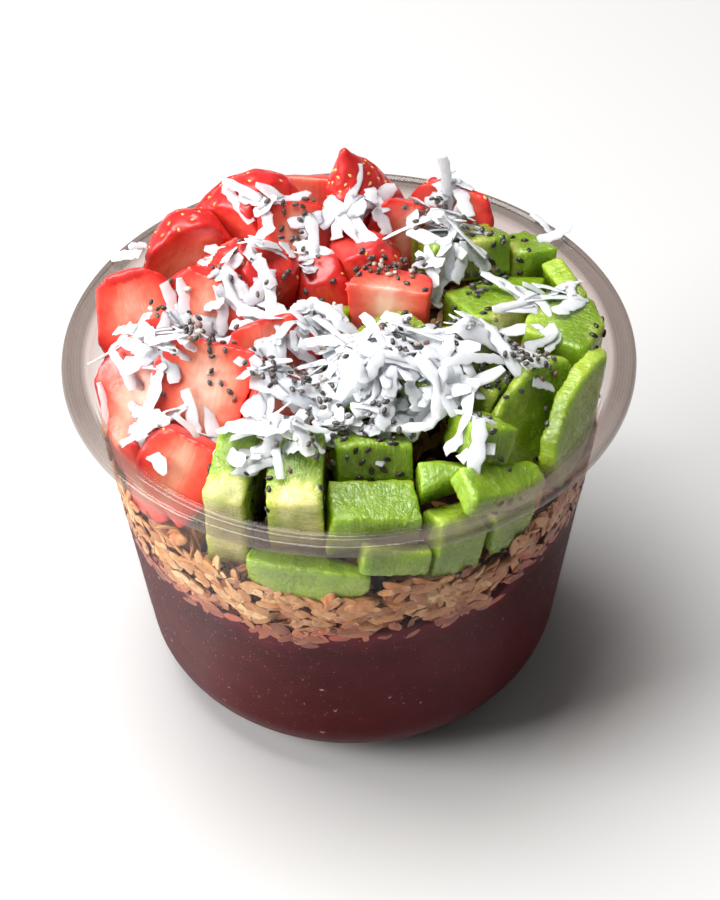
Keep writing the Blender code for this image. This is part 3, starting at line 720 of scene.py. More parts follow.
def scatter(name, shapes, points, finish, seed):  # a point is (place, turn, size, pick, soak and painted shade)
    folder = bpy.data.collections.new(name + "Shapes")
    bpy.context.scene.collection.children.link(folder)
    for number, mesh in enumerate(shapes):
        folder.objects.link(bpy.data.objects.new("%sShape%02d" % (name, number), mesh))
    base = bpy.data.meshes.new(name + "Points")
    base.from_pydata([tuple(point[0]) for point in points], [], [])
    storeValues(base, "turn", [tuple(point[1]) for point in points])
    storeValues(base, "size", [tuple(point[2]) for point in points])
    base.attributes.new("pick", "INT", "POINT").data.foreach_set("value", [point[3] for point in points])
    storeValues(base, "soakAndShade", [point[4] for point in points])
    thing = bpy.data.objects.new(name + "Points", base)
    bpy.context.scene.collection.objects.link(thing)
    modifier = thing.modifiers.new("scatter", "NODES")
    modifier.node_group = scatterNodes
    values = {"Shapes": folder, "Spread": 1.0, "Seed": seed, "Finish": finish}
    for item in scatterNodes.interface.items_tree:
        if item.in_out == "INPUT" and item.name in values:
            modifier[item.identifier] = values[item.name]
    mesh = evaluatedMesh(thing)
    bpy.data.objects.remove(thing, do_unlink=True)
    for shape in list(folder.objects):
        bpy.data.objects.remove(shape, do_unlink=True)
    bpy.data.collections.remove(folder)
    piece = bpy.data.objects.new(name, mesh)
    bpy.context.scene.collection.objects.link(piece)
    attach(piece, "root")
    print(name, len(points), "bits,", sum(len(face.vertices) - 2 for face in mesh.polygons), "triangles")
    return piece


def turnFrom(facing, spin):  # the turn that puts a shape's Z along facing and spins it round that
    up = Vector(facing).normalized()
    side = up.orthogonal().normalized()
    side = Matrix.Rotation(spin, 3, up) @ side
    other = up.cross(side)
    return Matrix((side, other, up)).transposed().to_euler("XYZ")


def turnAlong(facing, along, spin):  # the same, with the shape's X near along before the spin
    up = Vector(facing).normalized()
    side = Vector(along)
    side = Matrix.Rotation(spin, 3, up) @ (side - up * side.dot(up)).normalized()
    return Matrix((side, up.cross(side), up)).transposed().to_euler("XYZ")


def keepInside(piece, inset, depth):  # press what reaches too far out, below the rim, flat on the wall
    mesh = piece.data
    places = spots(mesh)
    chance = np.empty(len(places), dtype=np.float32)
    mesh.attributes["chance"].data.foreach_get("value", chance)
    reach = np.hypot(places[:, 0], places[:, 1])
    limit = np.array([wallRadius(z, inset) for z in places[:, 2]]) - chance * depth
    share = np.minimum(1.0, limit / np.maximum(reach, 1e-6))
    places[:, :2] *= np.where(places[:, 2] < tub["height"] - 1 * mm, share, 1.0)[:, None]
    moveSpots(mesh, places)


def tilted(direction, amount):  # a direction leaned over by a random share of amount
    lean = Vector((random.gauss(0, 1), random.gauss(0, 1), random.gauss(0, 1))).normalized()
    return (Vector(direction).normalized() + lean * amount * random.random()).normalized()


# a seed, grain or crumb: a ball squashed to size, with its long side on X
def blobMesh(name, length, width, thick, sides, rows, seed, rough=0.12, power=1.0):
    shape = bmesh.new()
    bmesh.ops.create_uvsphere(shape, u_segments=sides, v_segments=rows, radius=0.5)
    for vert in shape.verts:
        place = vert.co.copy()
        pinch = 1 - power * 0.35 * max(0.0, place.x * 2)
        uneven = 1 + rough * noise.noise(place * 4 + Vector((seed, seed * 2.0, seed * 0.7)))
        vert.co = Vector((place.x * length, place.y * width * pinch, place.z * thick)) * uneven
    mesh = bpy.data.meshes.new(name)
    shape.to_mesh(mesh)
    shape.free()
    mesh.shade_smooth()
    return mesh


# granola: a core painted dark as the shade between the flakes, and flakes against the wall and over the top

granola = {"coreInset": 2.6 * mm, "wallFlakes": 960, "innerFlakes": 820, "topFlakes": 700, "sunkFlakes": 170,
           "shapes": 14, "nuts": 26, "sides": 10}


def granolaTopAt(tree, x, y):
    hit = tree.ray_cast(Vector((x, y, 0.15)), Vector((0, 0, -1)))[0]
    return hit.z if hit else None


def flakeMesh(name, seed):  # a rolled oat: a thin oval with a ragged rim, a crease along it and a little curl
    random.seed(seed)
    length, width = random.uniform(5.4, 9.0) * mm, random.uniform(2.0, 3.5) * mm
    thick = random.uniform(0.8, 1.5) * mm
    curl, crease = random.uniform(-0.5, 0.9), random.uniform(0.15, 0.4) * mm
    sides = granola["sides"]
    shape = bmesh.new()
    layers = []
    ragged = [random.uniform(0.82, 1.08) for _ in range(sides)]
    for share, lift in ((0.5, 0.5), (1.0, 0.12), (0.96, -0.3), (0.5, -0.5)):
        ring = []
        for side in range(sides):
            a = math.tau * side / sides
            x = share * ragged[side] * length / 2 * math.cos(a)
            y = share * ragged[side] * width / 2 * math.sin(a)
            z = lift * thick + curl * (x * x) / length
            z -= crease * math.exp(-(y / (0.5 * mm)) ** 2) * (lift > 0)
            z += thick * 0.25 * noise.noise(Vector((x * 600, y * 600, seed)))
            ring.append(shape.verts.new((x, y, z)))
        layers.append(ring)
    for upper, lower in zip(layers, layers[1:]):
        for side in range(sides):
            after = (side + 1) % sides
            shape.faces.new((upper[side], lower[side], lower[after], upper[after]))
    for ring, order in ((layers[0], 1), (layers[-1], -1)):
        middle = sum((vert.co for vert in ring), Vector()) / sides
        middle.z -= crease * (order > 0)
        pole = shape.verts.new(middle)
        for side in range(sides):
            corners = (pole, ring[side], ring[(side + 1) % sides])
            shape.faces.new(corners[::order])
    mesh = bpy.data.meshes.new(name)
    shape.to_mesh(mesh)
    shape.free()
    mesh.shade_smooth()
    mesh.set_sharp_from_angle(angle=math.radians(50))
    return mesh


def flakeFinish():
    material, tree, shader = startMaterial("toastedOats")
    spot = objectSpot(tree)
    chance = attribute(tree, "chance")
    soakAndShade = attribute(tree, "soakAndShade")
    mealy = speckle(tree, spot, 900.0, 4.0, 0.65)
    cloud = speckle(tree, spot, 240.0, 2.0)
    base = ramp(tree, chance, (
        (0.0, tone(150, 84, 38)), (0.22, tone(190, 120, 60)), (0.55, tone(214, 148, 84)),
        (0.8, tone(242, 198, 142)), (0.92, tone(176, 92, 42)), (1.0, tone(132, 62, 28))))
    base = blend(tree, ramp(tree, mealy, ((0.35, 0.55), (0.6, 0.0))), base, tone(168, 108, 66))
    # painted highlight: pale patches from the cloud noise stand in for where light catches the oats
    base = blend(tree, ramp(tree, cloud, ((0.5, 0.0), (0.8, 0.5))), base, tone(248, 214, 168))
    # the soaked colour is real where flakes sink into the puree, and painted shade on the right of the bed
    tintWithPaintedLight = blend(tree, chance, tone(92, 22, 22), tone(184, 66, 38))
    base = blend(tree, maths(tree, "MULTIPLY", soakAndShade, 0.92), base, tintWithPaintedLight)
    feed(tree, shader, Base_Color=base, Roughness=0.45, Specular_IOR_Level=0.6, Subsurface_Weight=0.12,
         Subsurface_Radius=(0.001, 0.0006, 0.0003), Subsurface_Scale=1.0,
         Normal=bump(tree, mealy, 0.00025, 0.7))
    return material


# the core is the granola bed under the flakes; its toasted brown is painted darker as the shade in the gaps
# between them
def shadedCoreFinish():
    material, tree, shader = startMaterial("granolaCoreShade")
    spot = objectSpot(tree)
    mealy = speckle(tree, spot, 300.0, 4.0, 0.65)
    base = ramp(tree, mealy, ((0.35, tone(46, 20, 12)), (0.6, tone(92, 50, 28)), (0.75, tone(130, 82, 48))))
    feed(tree, shader, Base_Color=base, Roughness=0.85, Normal=bump(tree, mealy, 0.0012, 0.8))
    return material


granolaNode = frame["nodes"]["granola_bed"].data
granolaTree = BVHTree.FromPolygons([v.co for v in granolaNode.vertices],
                                   [p.vertices for p in granolaNode.polygons])


def granolaCoreMesh():
    mesh = finerCopy("granola_bed", 1.6 * mm, 2)
    places = spots(mesh)
    facing = normalsOf(mesh)
    lumps = unevenness(places, 260.0, 9)
    places -= facing * ((0.9 + 0.6 * lumps) * mm)[:, None]
    reach = np.hypot(places[:, 0], places[:, 1])
    shrink = np.clip((reach - granola["coreInset"]) / np.maximum(reach, 1e-6), 0.0, 1.0)
    edge = reach > 38 * mm
    places[edge, 0] *= shrink[edge]
    places[edge, 1] *= shrink[edge]
    moveSpots(mesh, places)
    return mesh


corePiece = addPiece("granola_core", granolaCoreMesh(), shadedCoreFinish())
flakeShapes = [flakeMesh("flake%d" % number, 500 + number) for number in range(granola["shapes"])]


def wallFlake(inset, lean):
    angle = random.uniform(-180, 180)
    low = pureeEdge(angle) - 0.6 * mm
    high = levelAt(granolaLevels, angle) + 2.6 * mm
    z = low + (high - low) * random.random()
    outward = outwardAt(angle)
    reach = wallRadius(z, tub["wall"] - puree["intoWall"]) - inset * mm
    facing = tilted(outward, lean)
    scale = random.uniform(0.6, 1.0)
    # a leaning flake stands in from the wall by what its lean takes up
    reach -= (1 - abs(facing.dot(outward))) * 2.2 * mm * scale
    place = outward * reach + Vector((0, 0, z))
    soakAndShade = max(0.0, min(1.0, 1.3 - (z - low) / (3.6 * mm))) * random.uniform(0.6, 1.0)
    # painted shade: flakes on the right of the bed, away from the key light, get the dark soaked colour too
    soakAndShade = max(soakAndShade, 0.95 * max(0.0, outward.x) ** 1.6 * random.uniform(0.3, 1.0))
    spin = random.gauss(0, 0.5) if random.random() < 0.72 else random.uniform(0, math.tau)
    turn = turnAlong(facing, alongWall(outward), spin)
    return place, turn, (scale,) * 3, random.randrange(granola["shapes"]), soakAndShade


def topFlake():
    while True:
        a, share = random.uniform(0, math.tau), math.sqrt(random.random())
        x, y = share * 47 * mm * math.cos(a), share * 47 * mm * math.sin(a)
        z = granolaTopAt(granolaTree, x, y)
        if z:
            facing = tilted((0, 0, 1), 0.9)
            scale = random.uniform(0.6, 0.95)
            place = Vector((x, y, z + random.uniform(-0.6, 0.9) * mm))
            turn = turnFrom(facing, random.uniform(0, math.tau))
            return place, turn, (scale,) * 3, random.randrange(granola["shapes"]), 0.0


def sunkFlake():  # a flake that has gone into the puree and shows through its skin
    angle = random.uniform(-180, 180)
    z = pureeEdge(angle) + random.triangular(-2.4, 0.5, -0.5) * mm
    outward = outwardAt(angle)
    scale = random.uniform(0.35, 0.72)
    place = outward * wallRadius(z, tub["wall"] - puree["intoWall"]) + Vector((0, 0, z))
    turn = turnAlong(tilted(outward, 0.16), alongWall(outward), random.gauss(0, 0.5))
    pick = random.randrange(granola["shapes"])
    return place, turn, (scale, scale, scale * 0.6), pick, random.uniform(0.8, 1.0)


# grains seen one by one: angle round the wall, height, size and how soaked
def setGrain(angle, height, scale, spin, pick, soakAndShade):
    outward = outwardAt(angle)
    place = outward * (wallRadius(height * mm, tub["wall"]) - 0.5 * mm) + Vector((0, 0, height * mm))
    return place, turnAlong(outward, alongWall(outward), spin), (scale,) * 3, pick, soakAndShade


random.seed(31)
wallBits = [wallFlake(random.uniform(0.1, 0.6), 0.7) for _ in range(granola["wallFlakes"])]
wallBits += [wallFlake(random.uniform(1.4, 4.4), 1.4) for _ in range(granola["innerFlakes"])]
wallBits += [sunkFlake() for _ in range(granola["sunkFlakes"])]
wallBits += [setGrain(-9.5, 48.2, 0.95, 0.1, 3, 0.75), setGrain(0.0, 49.6, 0.9, -0.9, 5, 0.8),
             setGrain(-29.5, 57.5, 1.25, 0.5, 2, 0.0)]
flakeMaterial = flakeFinish()
wallFlakes = scatter("granola_flakes", flakeShapes, wallBits, flakeMaterial, 5)
keepInside(wallFlakes, 0.12 * mm, 0.2 * mm)
topFlakes = scatter("granola_top_flakes", flakeShapes, [topFlake() for _ in range(granola["topFlakes"])],
                    flakeMaterial, 6)
keepInside(topFlakes, tub["wall"], 0.45 * mm)


def nutFinish():
    material, tree, shader = startMaterial("toastedNuts")
    spot = objectSpot(tree)
    lines = put(tree, "ShaderNodeMapping", {0: spot, 3: (1.0, 1.0, 0.3)}).outputs[0]
    grain = speckle(tree, lines, 700.0, 3.0)
    base = ramp(tree, grain, (
        (0.3, tone(176, 100, 54)), (0.55, tone(212, 142, 88)), (0.75, tone(232, 178, 124))))
    # the soaked colour is real near the puree, and painted shade on the right of the bed
    base = blend(tree, attribute(tree, "soakAndShade"), base, tone(160, 54, 46))
    feed(tree, shader, Base_Color=base, Roughness=0.45, Normal=bump(tree, grain, 0.0002, 0.6))
    return material


nutShapes = [blobMesh("nut%d" % n, 6.2 * mm, 3.0 * mm, 2.2 * mm, 12, 8, 60 + n, 0.2, 0.9) for n in range(3)]
nutBits = []
for number in range(granola["nuts"]):
    place, _, _, _, soakAndShade = wallFlake(1.0, 0.3)
    outward = Vector((place.x, place.y, 0)).normalized()
    size = random.uniform(0.6, 1.1)
    nutBits.append((place, turnFrom(outward, random.uniform(-0.6, 0.6)), (size,) * 3, number % 3, soakAndShade * 0.8))
nutBits.append(setGrain(1.5, 57.5, 1.35, 0.15, 1, 0.0))
nutPiece = scatter("granola_nuts", nutShapes, nutBits, nutFinish(), 8)
keepInside(nutPiece, 0.12 * mm, 0.1 * mm)
print("granola made")


# pale specks in the puree

specks = {"small": 1300, "large": 60}


def speckFinish():
    material, tree, shader = startMaterial("pureeSpecks")
    base = ramp(tree, attribute(tree, "chance"), (
        (0.0, tone(118, 58, 66)), (0.6, tone(140, 82, 86)), (1.0, tone(176, 128, 126))))
    feed(tree, shader, Base_Color=base, Roughness=0.5)
    return material


def pureeSpeck(small):
    angle = random.uniform(-180, 180)
    top = pureeEdge(angle)
    if small:
        z = random.triangular(8 * mm, top - 1 * mm, top - 5 * mm)
    else:
        z = random.uniform(5 * mm, top - 2 * mm)
    reach = wallRadius(z, tub["wall"] - puree["intoWall"]) + (0.02 * mm if small else -0.08 * mm)
    outward = outwardAt(angle)
    size = random.uniform(0.1, 0.22) if small else random.uniform(0.4, 1.2)
    flat = (size * random.uniform(0.8, 1.6), size, 0.16 if small else 0.22)
    turn = turnFrom(outward, random.uniform(0, math.tau))
    return outward * reach + Vector((0, 0, z)), turn, flat, random.randrange(3), 0.0


random.seed(77)
speckShapes = [blobMesh("speck%d" % n, 1 * mm, 1 * mm, 1 * mm, 7, 4, 20 + n, 0.5, 0.0) for n in range(3)]
speckBits = [pureeSpeck(True) for _ in range(specks["small"])]
speckBits += [pureeSpeck(False) for _ in range(specks["large"])]
scatter("puree_specks", speckShapes, speckBits, speckFinish(), 3)


# seeds on the fruit

def seedFinish(name, low, high, rough):
    material, tree, shader = startMaterial(name)
    base = blend(tree, attribute(tree, "chance"), low, high)
    grain = speckle(tree, objectSpot(tree), 2600.0, 2.0)
    feed(tree, shader, Base_Color=base, Roughness=rough, Normal=bump(tree, grain, 0.00005, 0.5))
    return material


def seedPoint(place, facing, lift, sizes):
    turn = turnFrom(facing, random.uniform(0, math.tau))
    return place + facing * lift, turn, (random.uniform(*sizes),) * 3, 0, 0.0


random.seed(12)
berrySeedShape = [blobMesh("berrySeed", 1.2 * mm, 0.74 * mm, 0.55 * mm, 8, 6, 1, 0.05, 1.0)]
seedBits = [seedPoint(place, facing, 0.12 * mm, (0.8, 1.1)) for place, facing in berrySeeds]
scatter("strawberry_seeds", berrySeedShape, seedBits,
        seedFinish("berrySeeds", tone(220, 146, 70), tone(240, 186, 112), 0.3), 4)
kiwiSeedShape = [blobMesh("kiwiSeed", 2.1 * mm, 1.25 * mm, 0.9 * mm, 10, 7, 2, 0.05, 1.0)]
seedBits = [seedPoint(place, facing, 0.1 * mm, (0.75, 1.05)) for place, facing in kiwiSeeds]
scatter("kiwi_seeds", kiwiSeedShape, seedBits,
        seedFinish("kiwiSeeds", tone(24, 20, 18), tone(52, 40, 32), 0.18), 7)
print("seeds made")


# the top surface as a grid of heights, on which shreds and seeds come to rest

heap = {"cell": 0.7 * mm, "reach": 60 * mm}
cells = int(2 * heap["reach"] / heap["cell"]) + 1


def surfaceTree(meshes):
    places, faces = [], []
    for mesh in meshes:
        start = len(places)
        places.extend(vert.co for vert in mesh.vertices)
        faces.extend([start + index for index in face.vertices] for face in mesh.polygons)
    return BVHTree.FromPolygons(places, faces)


def topHeights(tree):
    heights = np.zeros((cells, cells))
    for i in range(cells):
        for j in range(cells):
            x, y = i * heap["cell"] - heap["reach"], j * heap["cell"] - heap["reach"]
            hit = tree.ray_cast(Vector((x, y, 0.15)), Vector((0, 0, -1)))[0]
            heights[i, j] = hit.z if hit else 0.0
    return heights


topTree = surfaceTree(fruitMeshes + [topFlakes.data, corePiece.data, tubPiece.data])
heights = topHeights(topTree)
print("top surface read")


def bridged(surface, reach, sag):  # shreds bridge the gaps between fruit, a little below their tops
    def spreadBy(grid, pick, edge):
        padded = np.pad(grid, reach, constant_values=edge)
        result = grid.copy()
        for i in range(-reach, reach + 1):
            for j in range(-reach, reach + 1):
                if i * i + j * j <= reach * reach:
                    shifted = padded[reach + i:reach + i + cells, reach + j:reach + j + cells]
                    result = pick(result, shifted)
        return result
    closed = spreadBy(spreadBy(surface, np.maximum, 0.0), np.minimum, 1.0)
    return np.maximum(surface, np.where(surface > 50 * mm, closed - sag, surface))


def cellOf(x, y):
    i = int(round((x + heap["reach"]) / heap["cell"]))
    j = int(round((y + heap["reach"]) / heap["cell"]))
    return min(max(i, 1), cells - 2), min(max(j, 1), cells - 2)


def heightAt(x, y):
    return heights[cellOf(x, y)]


def raiseHeights(x, y, radius, top):
    i, j = cellOf(x, y)
    span = max(1, int(round(radius / heap["cell"])))
    patch = heights[max(i - span, 0):i + span + 1, max(j - span, 0):j + span + 1]
    np.maximum(patch, top, out=patch)


# coconut shreds

coconut = {"shapes": 22, "thick": 0.34 * mm, "steps": 9, "longSteps": 26}


# a torn strip of flat section, tapering, bent in its plane and out of it, with ragged edges
def shredMesh(name, seed, length, width, steps, bend=None):
    random.seed(seed)
    bend = random.uniform(-0.9, 0.9) if bend is None else bend
    bow, twist = random.uniform(-0.3, 0.6), random.uniform(-0.4, 0.4)
    start, end = random.uniform(0.5, 1.0), random.uniform(0.3, 0.9)
    forward, sideways = Vector((1, 0, 0)), Vector((0, 1, 0))
    place = Vector((0, 0, 0))
    path = []
    for step in range(steps + 1):
        t = step / steps
        taper = min(1.0, start + t * 4, end + (1 - t) * 3.2)
        up = forward.cross(sideways)
        halves = [width / 2 * taper * random.uniform(0.7, 1.2) for _ in range(2)]
        thick = coconut["thick"] * random.uniform(0.8, 1.15) / 2
        path.append((place.copy(), sideways.copy(), up, halves, thick))
        turn = Matrix.Rotation(bend / steps * random.uniform(0, 2), 3, up)
        turn = Matrix.Rotation(bow / steps * random.uniform(0, 2), 3, sideways) @ turn
        turn = Matrix.Rotation(twist / steps, 3, forward) @ turn
        forward, sideways = (turn @ forward).normalized(), (turn @ sideways).normalized()
        place += forward * length / steps
    middle = sum((item[0] for item in path), Vector()) / len(path)
    shape = bmesh.new()
    rows = []
    for place, sideways, up, (left, right), thick in path:
        place = place - middle
        row = [(-left, 0.0), (-0.72 * left, 1.0), (0.72 * right, 1.0),
               (right, 0.0), (0.72 * right, -1.0), (-0.72 * left, -1.0)]
        rows.append([shape.verts.new(place + sideways * across + up * lift * thick) for across, lift in row])
    for first, second in zip(rows, rows[1:]):
        for side in range(6):
            after = (side + 1) % 6
            shape.faces.new((first[side], first[after], second[after], second[side]))
    shape.faces.new(rows[0][::-1])
    shape.faces.new(rows[-1])
    bmesh.ops.recalc_face_normals(shape, faces=shape.faces)
    mesh = bpy.data.meshes.new(name)
    shape.to_mesh(mesh)
    shape.free()
    mesh.shade_smooth()
    mesh.set_sharp_from_angle(angle=math.radians(32))
    return mesh, length, width


def coconutFinish():
    material, tree, shader = startMaterial("coconutShreds")
    spot = objectSpot(tree)
    cloud = speckle(tree, spot, 300.0, 3.0)
    fibre = speckle(tree, spot, 1500.0, 3.0, 0.6)
    base = ramp(tree, cloud, (
        (0.3, tone(216, 220, 225)), (0.6, tone(233, 236, 239)), (0.8, tone(244, 245, 245))))
    feed(tree, shader, Base_Color=base, Roughness=0.5, Subsurface_Weight=0.8,
         Subsurface_Radius=(0.0022, 0.0022, 0.002), Subsurface_Scale=1.0,
         Normal=bump(tree, fibre, 0.00012, 0.5))
    return material


random.seed(51)
sizes = [(random.uniform(5.0, 13.5) * mm, random.uniform(1.9, 3.5) * mm) for _ in range(coconut["shapes"])]
shreds = [shredMesh("shred%d" % number, 700 + number, length, width, coconut["steps"])
          for number, (length, width) in enumerate(sizes)]
shredBits = []


def layShred(x, y, spin, scale=1.0):
    # the shred lies on whatever is under it, tipped to the slope along its length
    pick = random.randrange(coconut["shapes"])
    _, length, width = shreds[pick]
    length, width = length * scale, width * scale
    along = Vector((math.cos(spin), math.sin(spin), 0))
    across = Vector((-along.y, along.x, 0))
    samples = [(t, heightAt(x + along.x * t * length, y + along.y * t * length))
               for t in (-0.45, -0.22, 0, 0.22, 0.45)]
    low = min(h for _, h in samples)
    if low < 60 * mm or max(h for _, h in samples) > 96 * mm:
        return
    ts, hs = np.array([t for t, _ in samples]) * length, np.array([h for _, h in samples])
    slope = float(np.polyfit(ts, hs, 1)[0])
    slope = max(-0.8, min(0.8, slope)) + random.gauss(0, 0.15)
    rest = max(h - slope * t for t, h in zip(ts, hs))
    middle = float(np.median(hs - slope * ts))
    z = 0.45 * rest + 0.55 * middle + coconut["thick"] * 0.5
    left, right = (heightAt(x + across.x * side * width, y + across.y * side * width) for side in (-1, 1))
    roll = max(-0.6, min(0.6, (right - left) / (2 * width))) + random.gauss(0, 0.2)
    forward = (along + Vector((0, 0, slope))).normalized()
    sideways = (across + Vector((0, 0, roll))).normalized()
    up = forward.cross(sideways).normalized()
    sideways = up.cross(forward)
    turn = Matrix((forward, sideways, up)).transposed().to_euler("XYZ")
    ends = [math.hypot(x + along.x * t * length, y + along.y * t * length) for t in (-0.5, 0.5)]
    if max(ends) > tub["topRadius"] + 0.4 * mm:
        return
    shredBits.append((Vector((x, y, z)), turn, (scale,) * 3, pick, 0.0))
    for t in np.linspace(-0.45, 0.45, 9):
        top = z + slope * t * length + coconut["thick"] * 0.2
        raiseHeights(x + along.x * t * length, y + along.y * t * length, width * 0.25, top)


def insideRim(x, y, margin=1.5 * mm):
    return math.hypot(x, y) < wallRadius(tub["height"], tub["wall"]) - margin


# where shreds fall: middle, reach across and along, how many, the way most of them point and how strictly
falls = [
    ((-42, -8), (11, 13), 46, -50, 30), ((-38, 30), (11, 6), 7, 10, 30), ((-16, 26), (13, 12), 34, 100, 50),
    ((1, 34), (7, 6), 26, 80, 60), ((21, 30), (8, 17), 40, 105, 40), ((38, 14), (9, 10), 15, 20, 40),
    ((-24, 6), (13, 9), 30, -30, 60), ((-10, -4), (17, 10), 34, 0, 90), ((2, -22), (25, 9), 68, 20, 90),
    ((4, -14), (22, 12), 80, 0, 90), ((16, -8), (18, 10), 32, 20, 80), ((-16, -34), (10, 6), 26, -10, 70),
    ((24, -33), (5, 5), 4, -20, 40), ((35, -6), (9, 12), 9, 20, 40), ((-35, -24), (8, 8), 10, -40, 40),
]
random.seed(2024)
chiaBits = []


def dropChia(x, y, tilt=0.35):
    z = heightAt(x, y)
    if z < 60 * mm:
        return
    step = 0.8 * mm
    slopeX = (heightAt(x + step, y) - heightAt(x - step, y)) / (2 * step)
    slopeY = (heightAt(x, y + step) - heightAt(x, y - step)) / (2 * step)
    facing = Vector((-max(-1.5, min(1.5, slopeX)), -max(-1.5, min(1.5, slopeY)), 1)).normalized()
    size = random.uniform(0.7, 0.92)
    turn = turnFrom(tilted(facing, tilt), random.uniform(0, math.tau))
    chiaBits.append((Vector((x, y, z)) + facing * 0.4 * mm, turn, (size,) * 3, random.randrange(2), 0.0))
    raiseHeights(x, y, 0.5 * mm, z + 0.8 * mm)


# where chia falls: middle, spread and how many, before and after the coconut
chiaUnder = [
    ((-2, -25), (12, 4), 46), ((8, -27), (7, 4), 30), ((22, -12), (12, 8), 60),
    ((8, 17), (7, 4), 34), ((-14, -10), (5, 5), 20), ((24, 20), (9, 8), 34),
]
chiaOver = [
    ((-29, -10), (4.5, 5), 34), ((-17, -16), (5, 4), 22), ((-6, -22), (6, 3.5), 24),
    ((33, -12), (7, 6), 44), ((20, -4), (10, 7), 14), ((9, 18), (8, 3), 26),
    ((20, 32), (8, 6), 22), ((-12, 30), (7, 6), 16), ((-22, 14), (10, 7), 16),
    ((2, -30), (10, 4), 22), ((-10, -39), (3.5, 1.5), 8), ((30, -34), (5, 4), 5),
    ((0, 0), (26, 26), 44), ((-38, 6), (4, 8), 8), ((8, -10), (14, 8), 12),
]


def strewChia(patches):
    for (midX, midY), (spreadX, spreadY), count in patches:
        for _ in range(count):
            x, y = random.gauss(midX, spreadX * 0.6) * mm, random.gauss(midY, spreadY * 0.6) * mm
            if insideRim(x, y):
                dropChia(x, y)


def strewShreds():
    order = []
    for (midX, midY), (reachX, reachY), count, point, swing in falls:
        for _ in range(count):
            a, share = random.uniform(0, math.tau), random.random() ** 0.6
            x, y = (midX + reachX * share * math.cos(a)) * mm, (midY + reachY * share * math.sin(a)) * mm
            spin = math.radians(point + random.gauss(0, swing))
            if insideRim(x, y):
                order.append((x, y, spin, random.uniform(0.8, 1.12)))
    random.shuffle(order)
    for x, y, spin, scale in order:
        layShred(x, y, spin, scale)


# strips set one by one: middle, the way they point, the way they face, shape and size
loneStrips = [
    ((41.5, 37.5, 83.2), (1, -0.6, 0.1), (0.1, -0.2, 1), 7, 0.55),
    ((44, 33, 84), (1, 0.3, -0.08), (0, -0.2, 1), 5, 0.9),
    ((-46.5, 28, 84.2), (-1, 0.35, 0.1), (0, -0.2, 1), 2, 0.95),
    ((-44, 30, 85), (-1, -0.5, 0.25), (0.2, -0.3, 1), 9, 0.8),
]


def setStrip(middle, forward, up, pick, scale):
    forward, up = Vector(forward).normalized(), Vector(up).normalized()
    sideways = up.cross(forward).normalized()
    turn = Matrix((forward, sideways, forward.cross(sideways))).transposed().to_euler("XYZ")
    shredBits.append((Vector(middle) * mm, turn, (scale,) * 3, pick, 0.0))


strewChia(chiaUnder)
heights = bridged(heights, 7, 3.2 * mm)
strewShreds()
for strip in loneStrips:
    setStrip(*strip)
shreds.append(shredMesh("longCurl", 733, 31 * mm, 2.7 * mm, coconut["longSteps"], -1.0))
# the curl follows the fall of the heap from its left end to its right one
curlMarks = [(13 * t, heightAt((29.5 + 13 * t) * mm, (-14.5 + 2.6 * t) * mm) / mm)
             for t in (-1, -0.5, 0, 0.5, 1)]
curlFall = (curlMarks[-1][1] - curlMarks[0][1]) / 26
curlTop = float(np.median([height - curlFall * along for along, height in curlMarks])) + 0.7
curlTurn = Vector((0.534, 0.845, 0)).normalized()
setStrip((29.5, -14.5, curlTop), (curlTurn.x, curlTurn.y, curlFall * 0.6), (-curlFall, -0.2, 1),
         coconut["shapes"], 1.0)
shreds.append(shredMesh("standingStrip", 741, 14 * mm, 2.4 * mm, coconut["steps"], 0.1))
setStrip((21.2, 42, 90), (-0.04, 0.3, 1), (0.1, -1, 0.3), coconut["shapes"] + 1, 1.0)
strewChia(chiaOver)
coconutMaterial = coconutFinish()
shredShapes = [shape for shape, _, _ in shreds]
coconutPiece = scatter("coconut_shreds", shredShapes, shredBits, coconutMaterial, 11)
keepInside(coconutPiece, tub["wall"], 0.1 * mm)


def chiaFinish():
    material, tree, shader = startMaterial("chiaSeeds")
    spot = objectSpot(tree)
    veins = speckle(tree, spot, 1800.0, 2.0, 0.5, 1.2)
    coat = ramp(tree, attribute(tree, "chance"), (
        (0.0, tone(40, 37, 36)), (0.6, tone(62, 57, 55)), (0.84, tone(84, 74, 68)), (0.9, tone(128, 78, 56)),
        (0.95, tone(196, 180, 162)), (1.0, tone(224, 214, 200))))
    base = blend(tree, ramp(tree, veins, ((0.5, 0.0), (0.62, 0.6))), coat, tone(142, 134, 128))
    feed(tree, shader, Base_Color=base, Roughness=0.32, Normal=bump(tree, veins, 0.00006, 0.4))
    return material


chiaShapes = [blobMesh("chia%d" % n, 2.05 * mm, 1.32 * mm, 1.02 * mm, 8, 6, 80 + n, 0.06, 0.55)
              for n in range(2)]
scatter("chia_seeds", chiaShapes, chiaBits, chiaFinish(), 13)
print("toppings made")


standIns = (
    (tubPiece, "bowl", "tub"), (pureePiece, "acai_puree", "puree"), (corePiece, "granola_bed", "granola"))
for piece, node, slot in standIns:
    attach(piece, "root")
    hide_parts(node)


# floor, light and camera

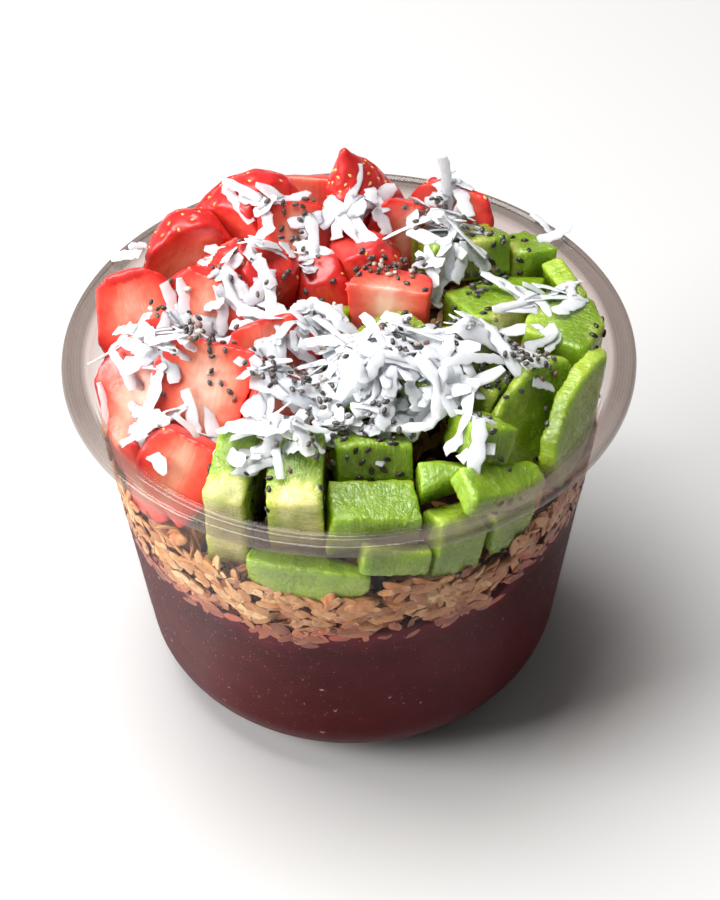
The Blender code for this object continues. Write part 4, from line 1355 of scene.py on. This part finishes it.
studio = {
    "floor": tone(204, 203, 202),
    "sky": (1.0, 1.0, 1.0),
    "skyPower": 0.12,
    "keyPower": 8.2,
    "topPower": 10.5,
}


def addFloor():
    mesh = bpy.data.meshes.new("floor")
    reach = 6.0
    corners = [(-reach, -reach, 0), (reach, -reach, 0), (reach, reach, 0), (-reach, reach, 0)]
    mesh.from_pydata(corners, [], [(0, 1, 2, 3)])
    material, tree, shader = startMaterial("studioFloor")
    feed(tree, shader, Base_Color=studio["floor"], Roughness=0.9)
    mesh.materials.append(material)
    floor = bpy.data.objects.new("floor", mesh)
    bpy.context.scene.collection.objects.link(floor)


def addPanel(name, place, aim, size, power):
    light = bpy.data.lights.new(name, "AREA")
    light.shape = "RECTANGLE"
    light.size, light.size_y = size
    light.energy = power
    lamp = bpy.data.objects.new(name, light)
    lamp.location = place
    lamp.rotation_euler = (Vector(aim) - Vector(place)).to_track_quat("-Z", "Y").to_euler()
    bpy.context.scene.collection.objects.link(lamp)


def addCamera():
    data = bpy.data.cameras.new("camera")
    data.lens = 117.88
    data.sensor_width = 36.0
    camera = bpy.data.objects.new("camera", data)
    place, aim, roll = Vector((0.0, -0.4529, 0.4756)), Vector((0.002, 0.0, 0.0532)), math.radians(-0.83)
    look = (aim - place).to_track_quat("-Z", "Y").to_matrix().to_4x4()
    camera.matrix_world = Matrix.Translation(place) @ look @ Matrix.Rotation(roll, 4, "Z")
    bpy.context.scene.collection.objects.link(camera)
    bpy.context.scene.camera = camera


def addSky():
    world = bpy.data.worlds.new("studio")
    world.use_nodes = True
    background = world.node_tree.nodes["Background"]
    background.inputs[0].default_value = studio["sky"] + (1.0,)
    background.inputs[1].default_value = studio["skyPower"]
    bpy.context.scene.world = world


addFloor()
addSky()
addPanel("key", (-0.68, -0.2, 0.4), (0, 0, 0.06), (0.4, 0.4), studio["keyPower"])
addPanel("top", (-0.18, 0.12, 0.85), (0, 0, 0.06), (0.55, 0.55), studio["topPower"])
addCamera()
bpy.context.scene.view_settings.view_transform = "Standard"
print("stage set")
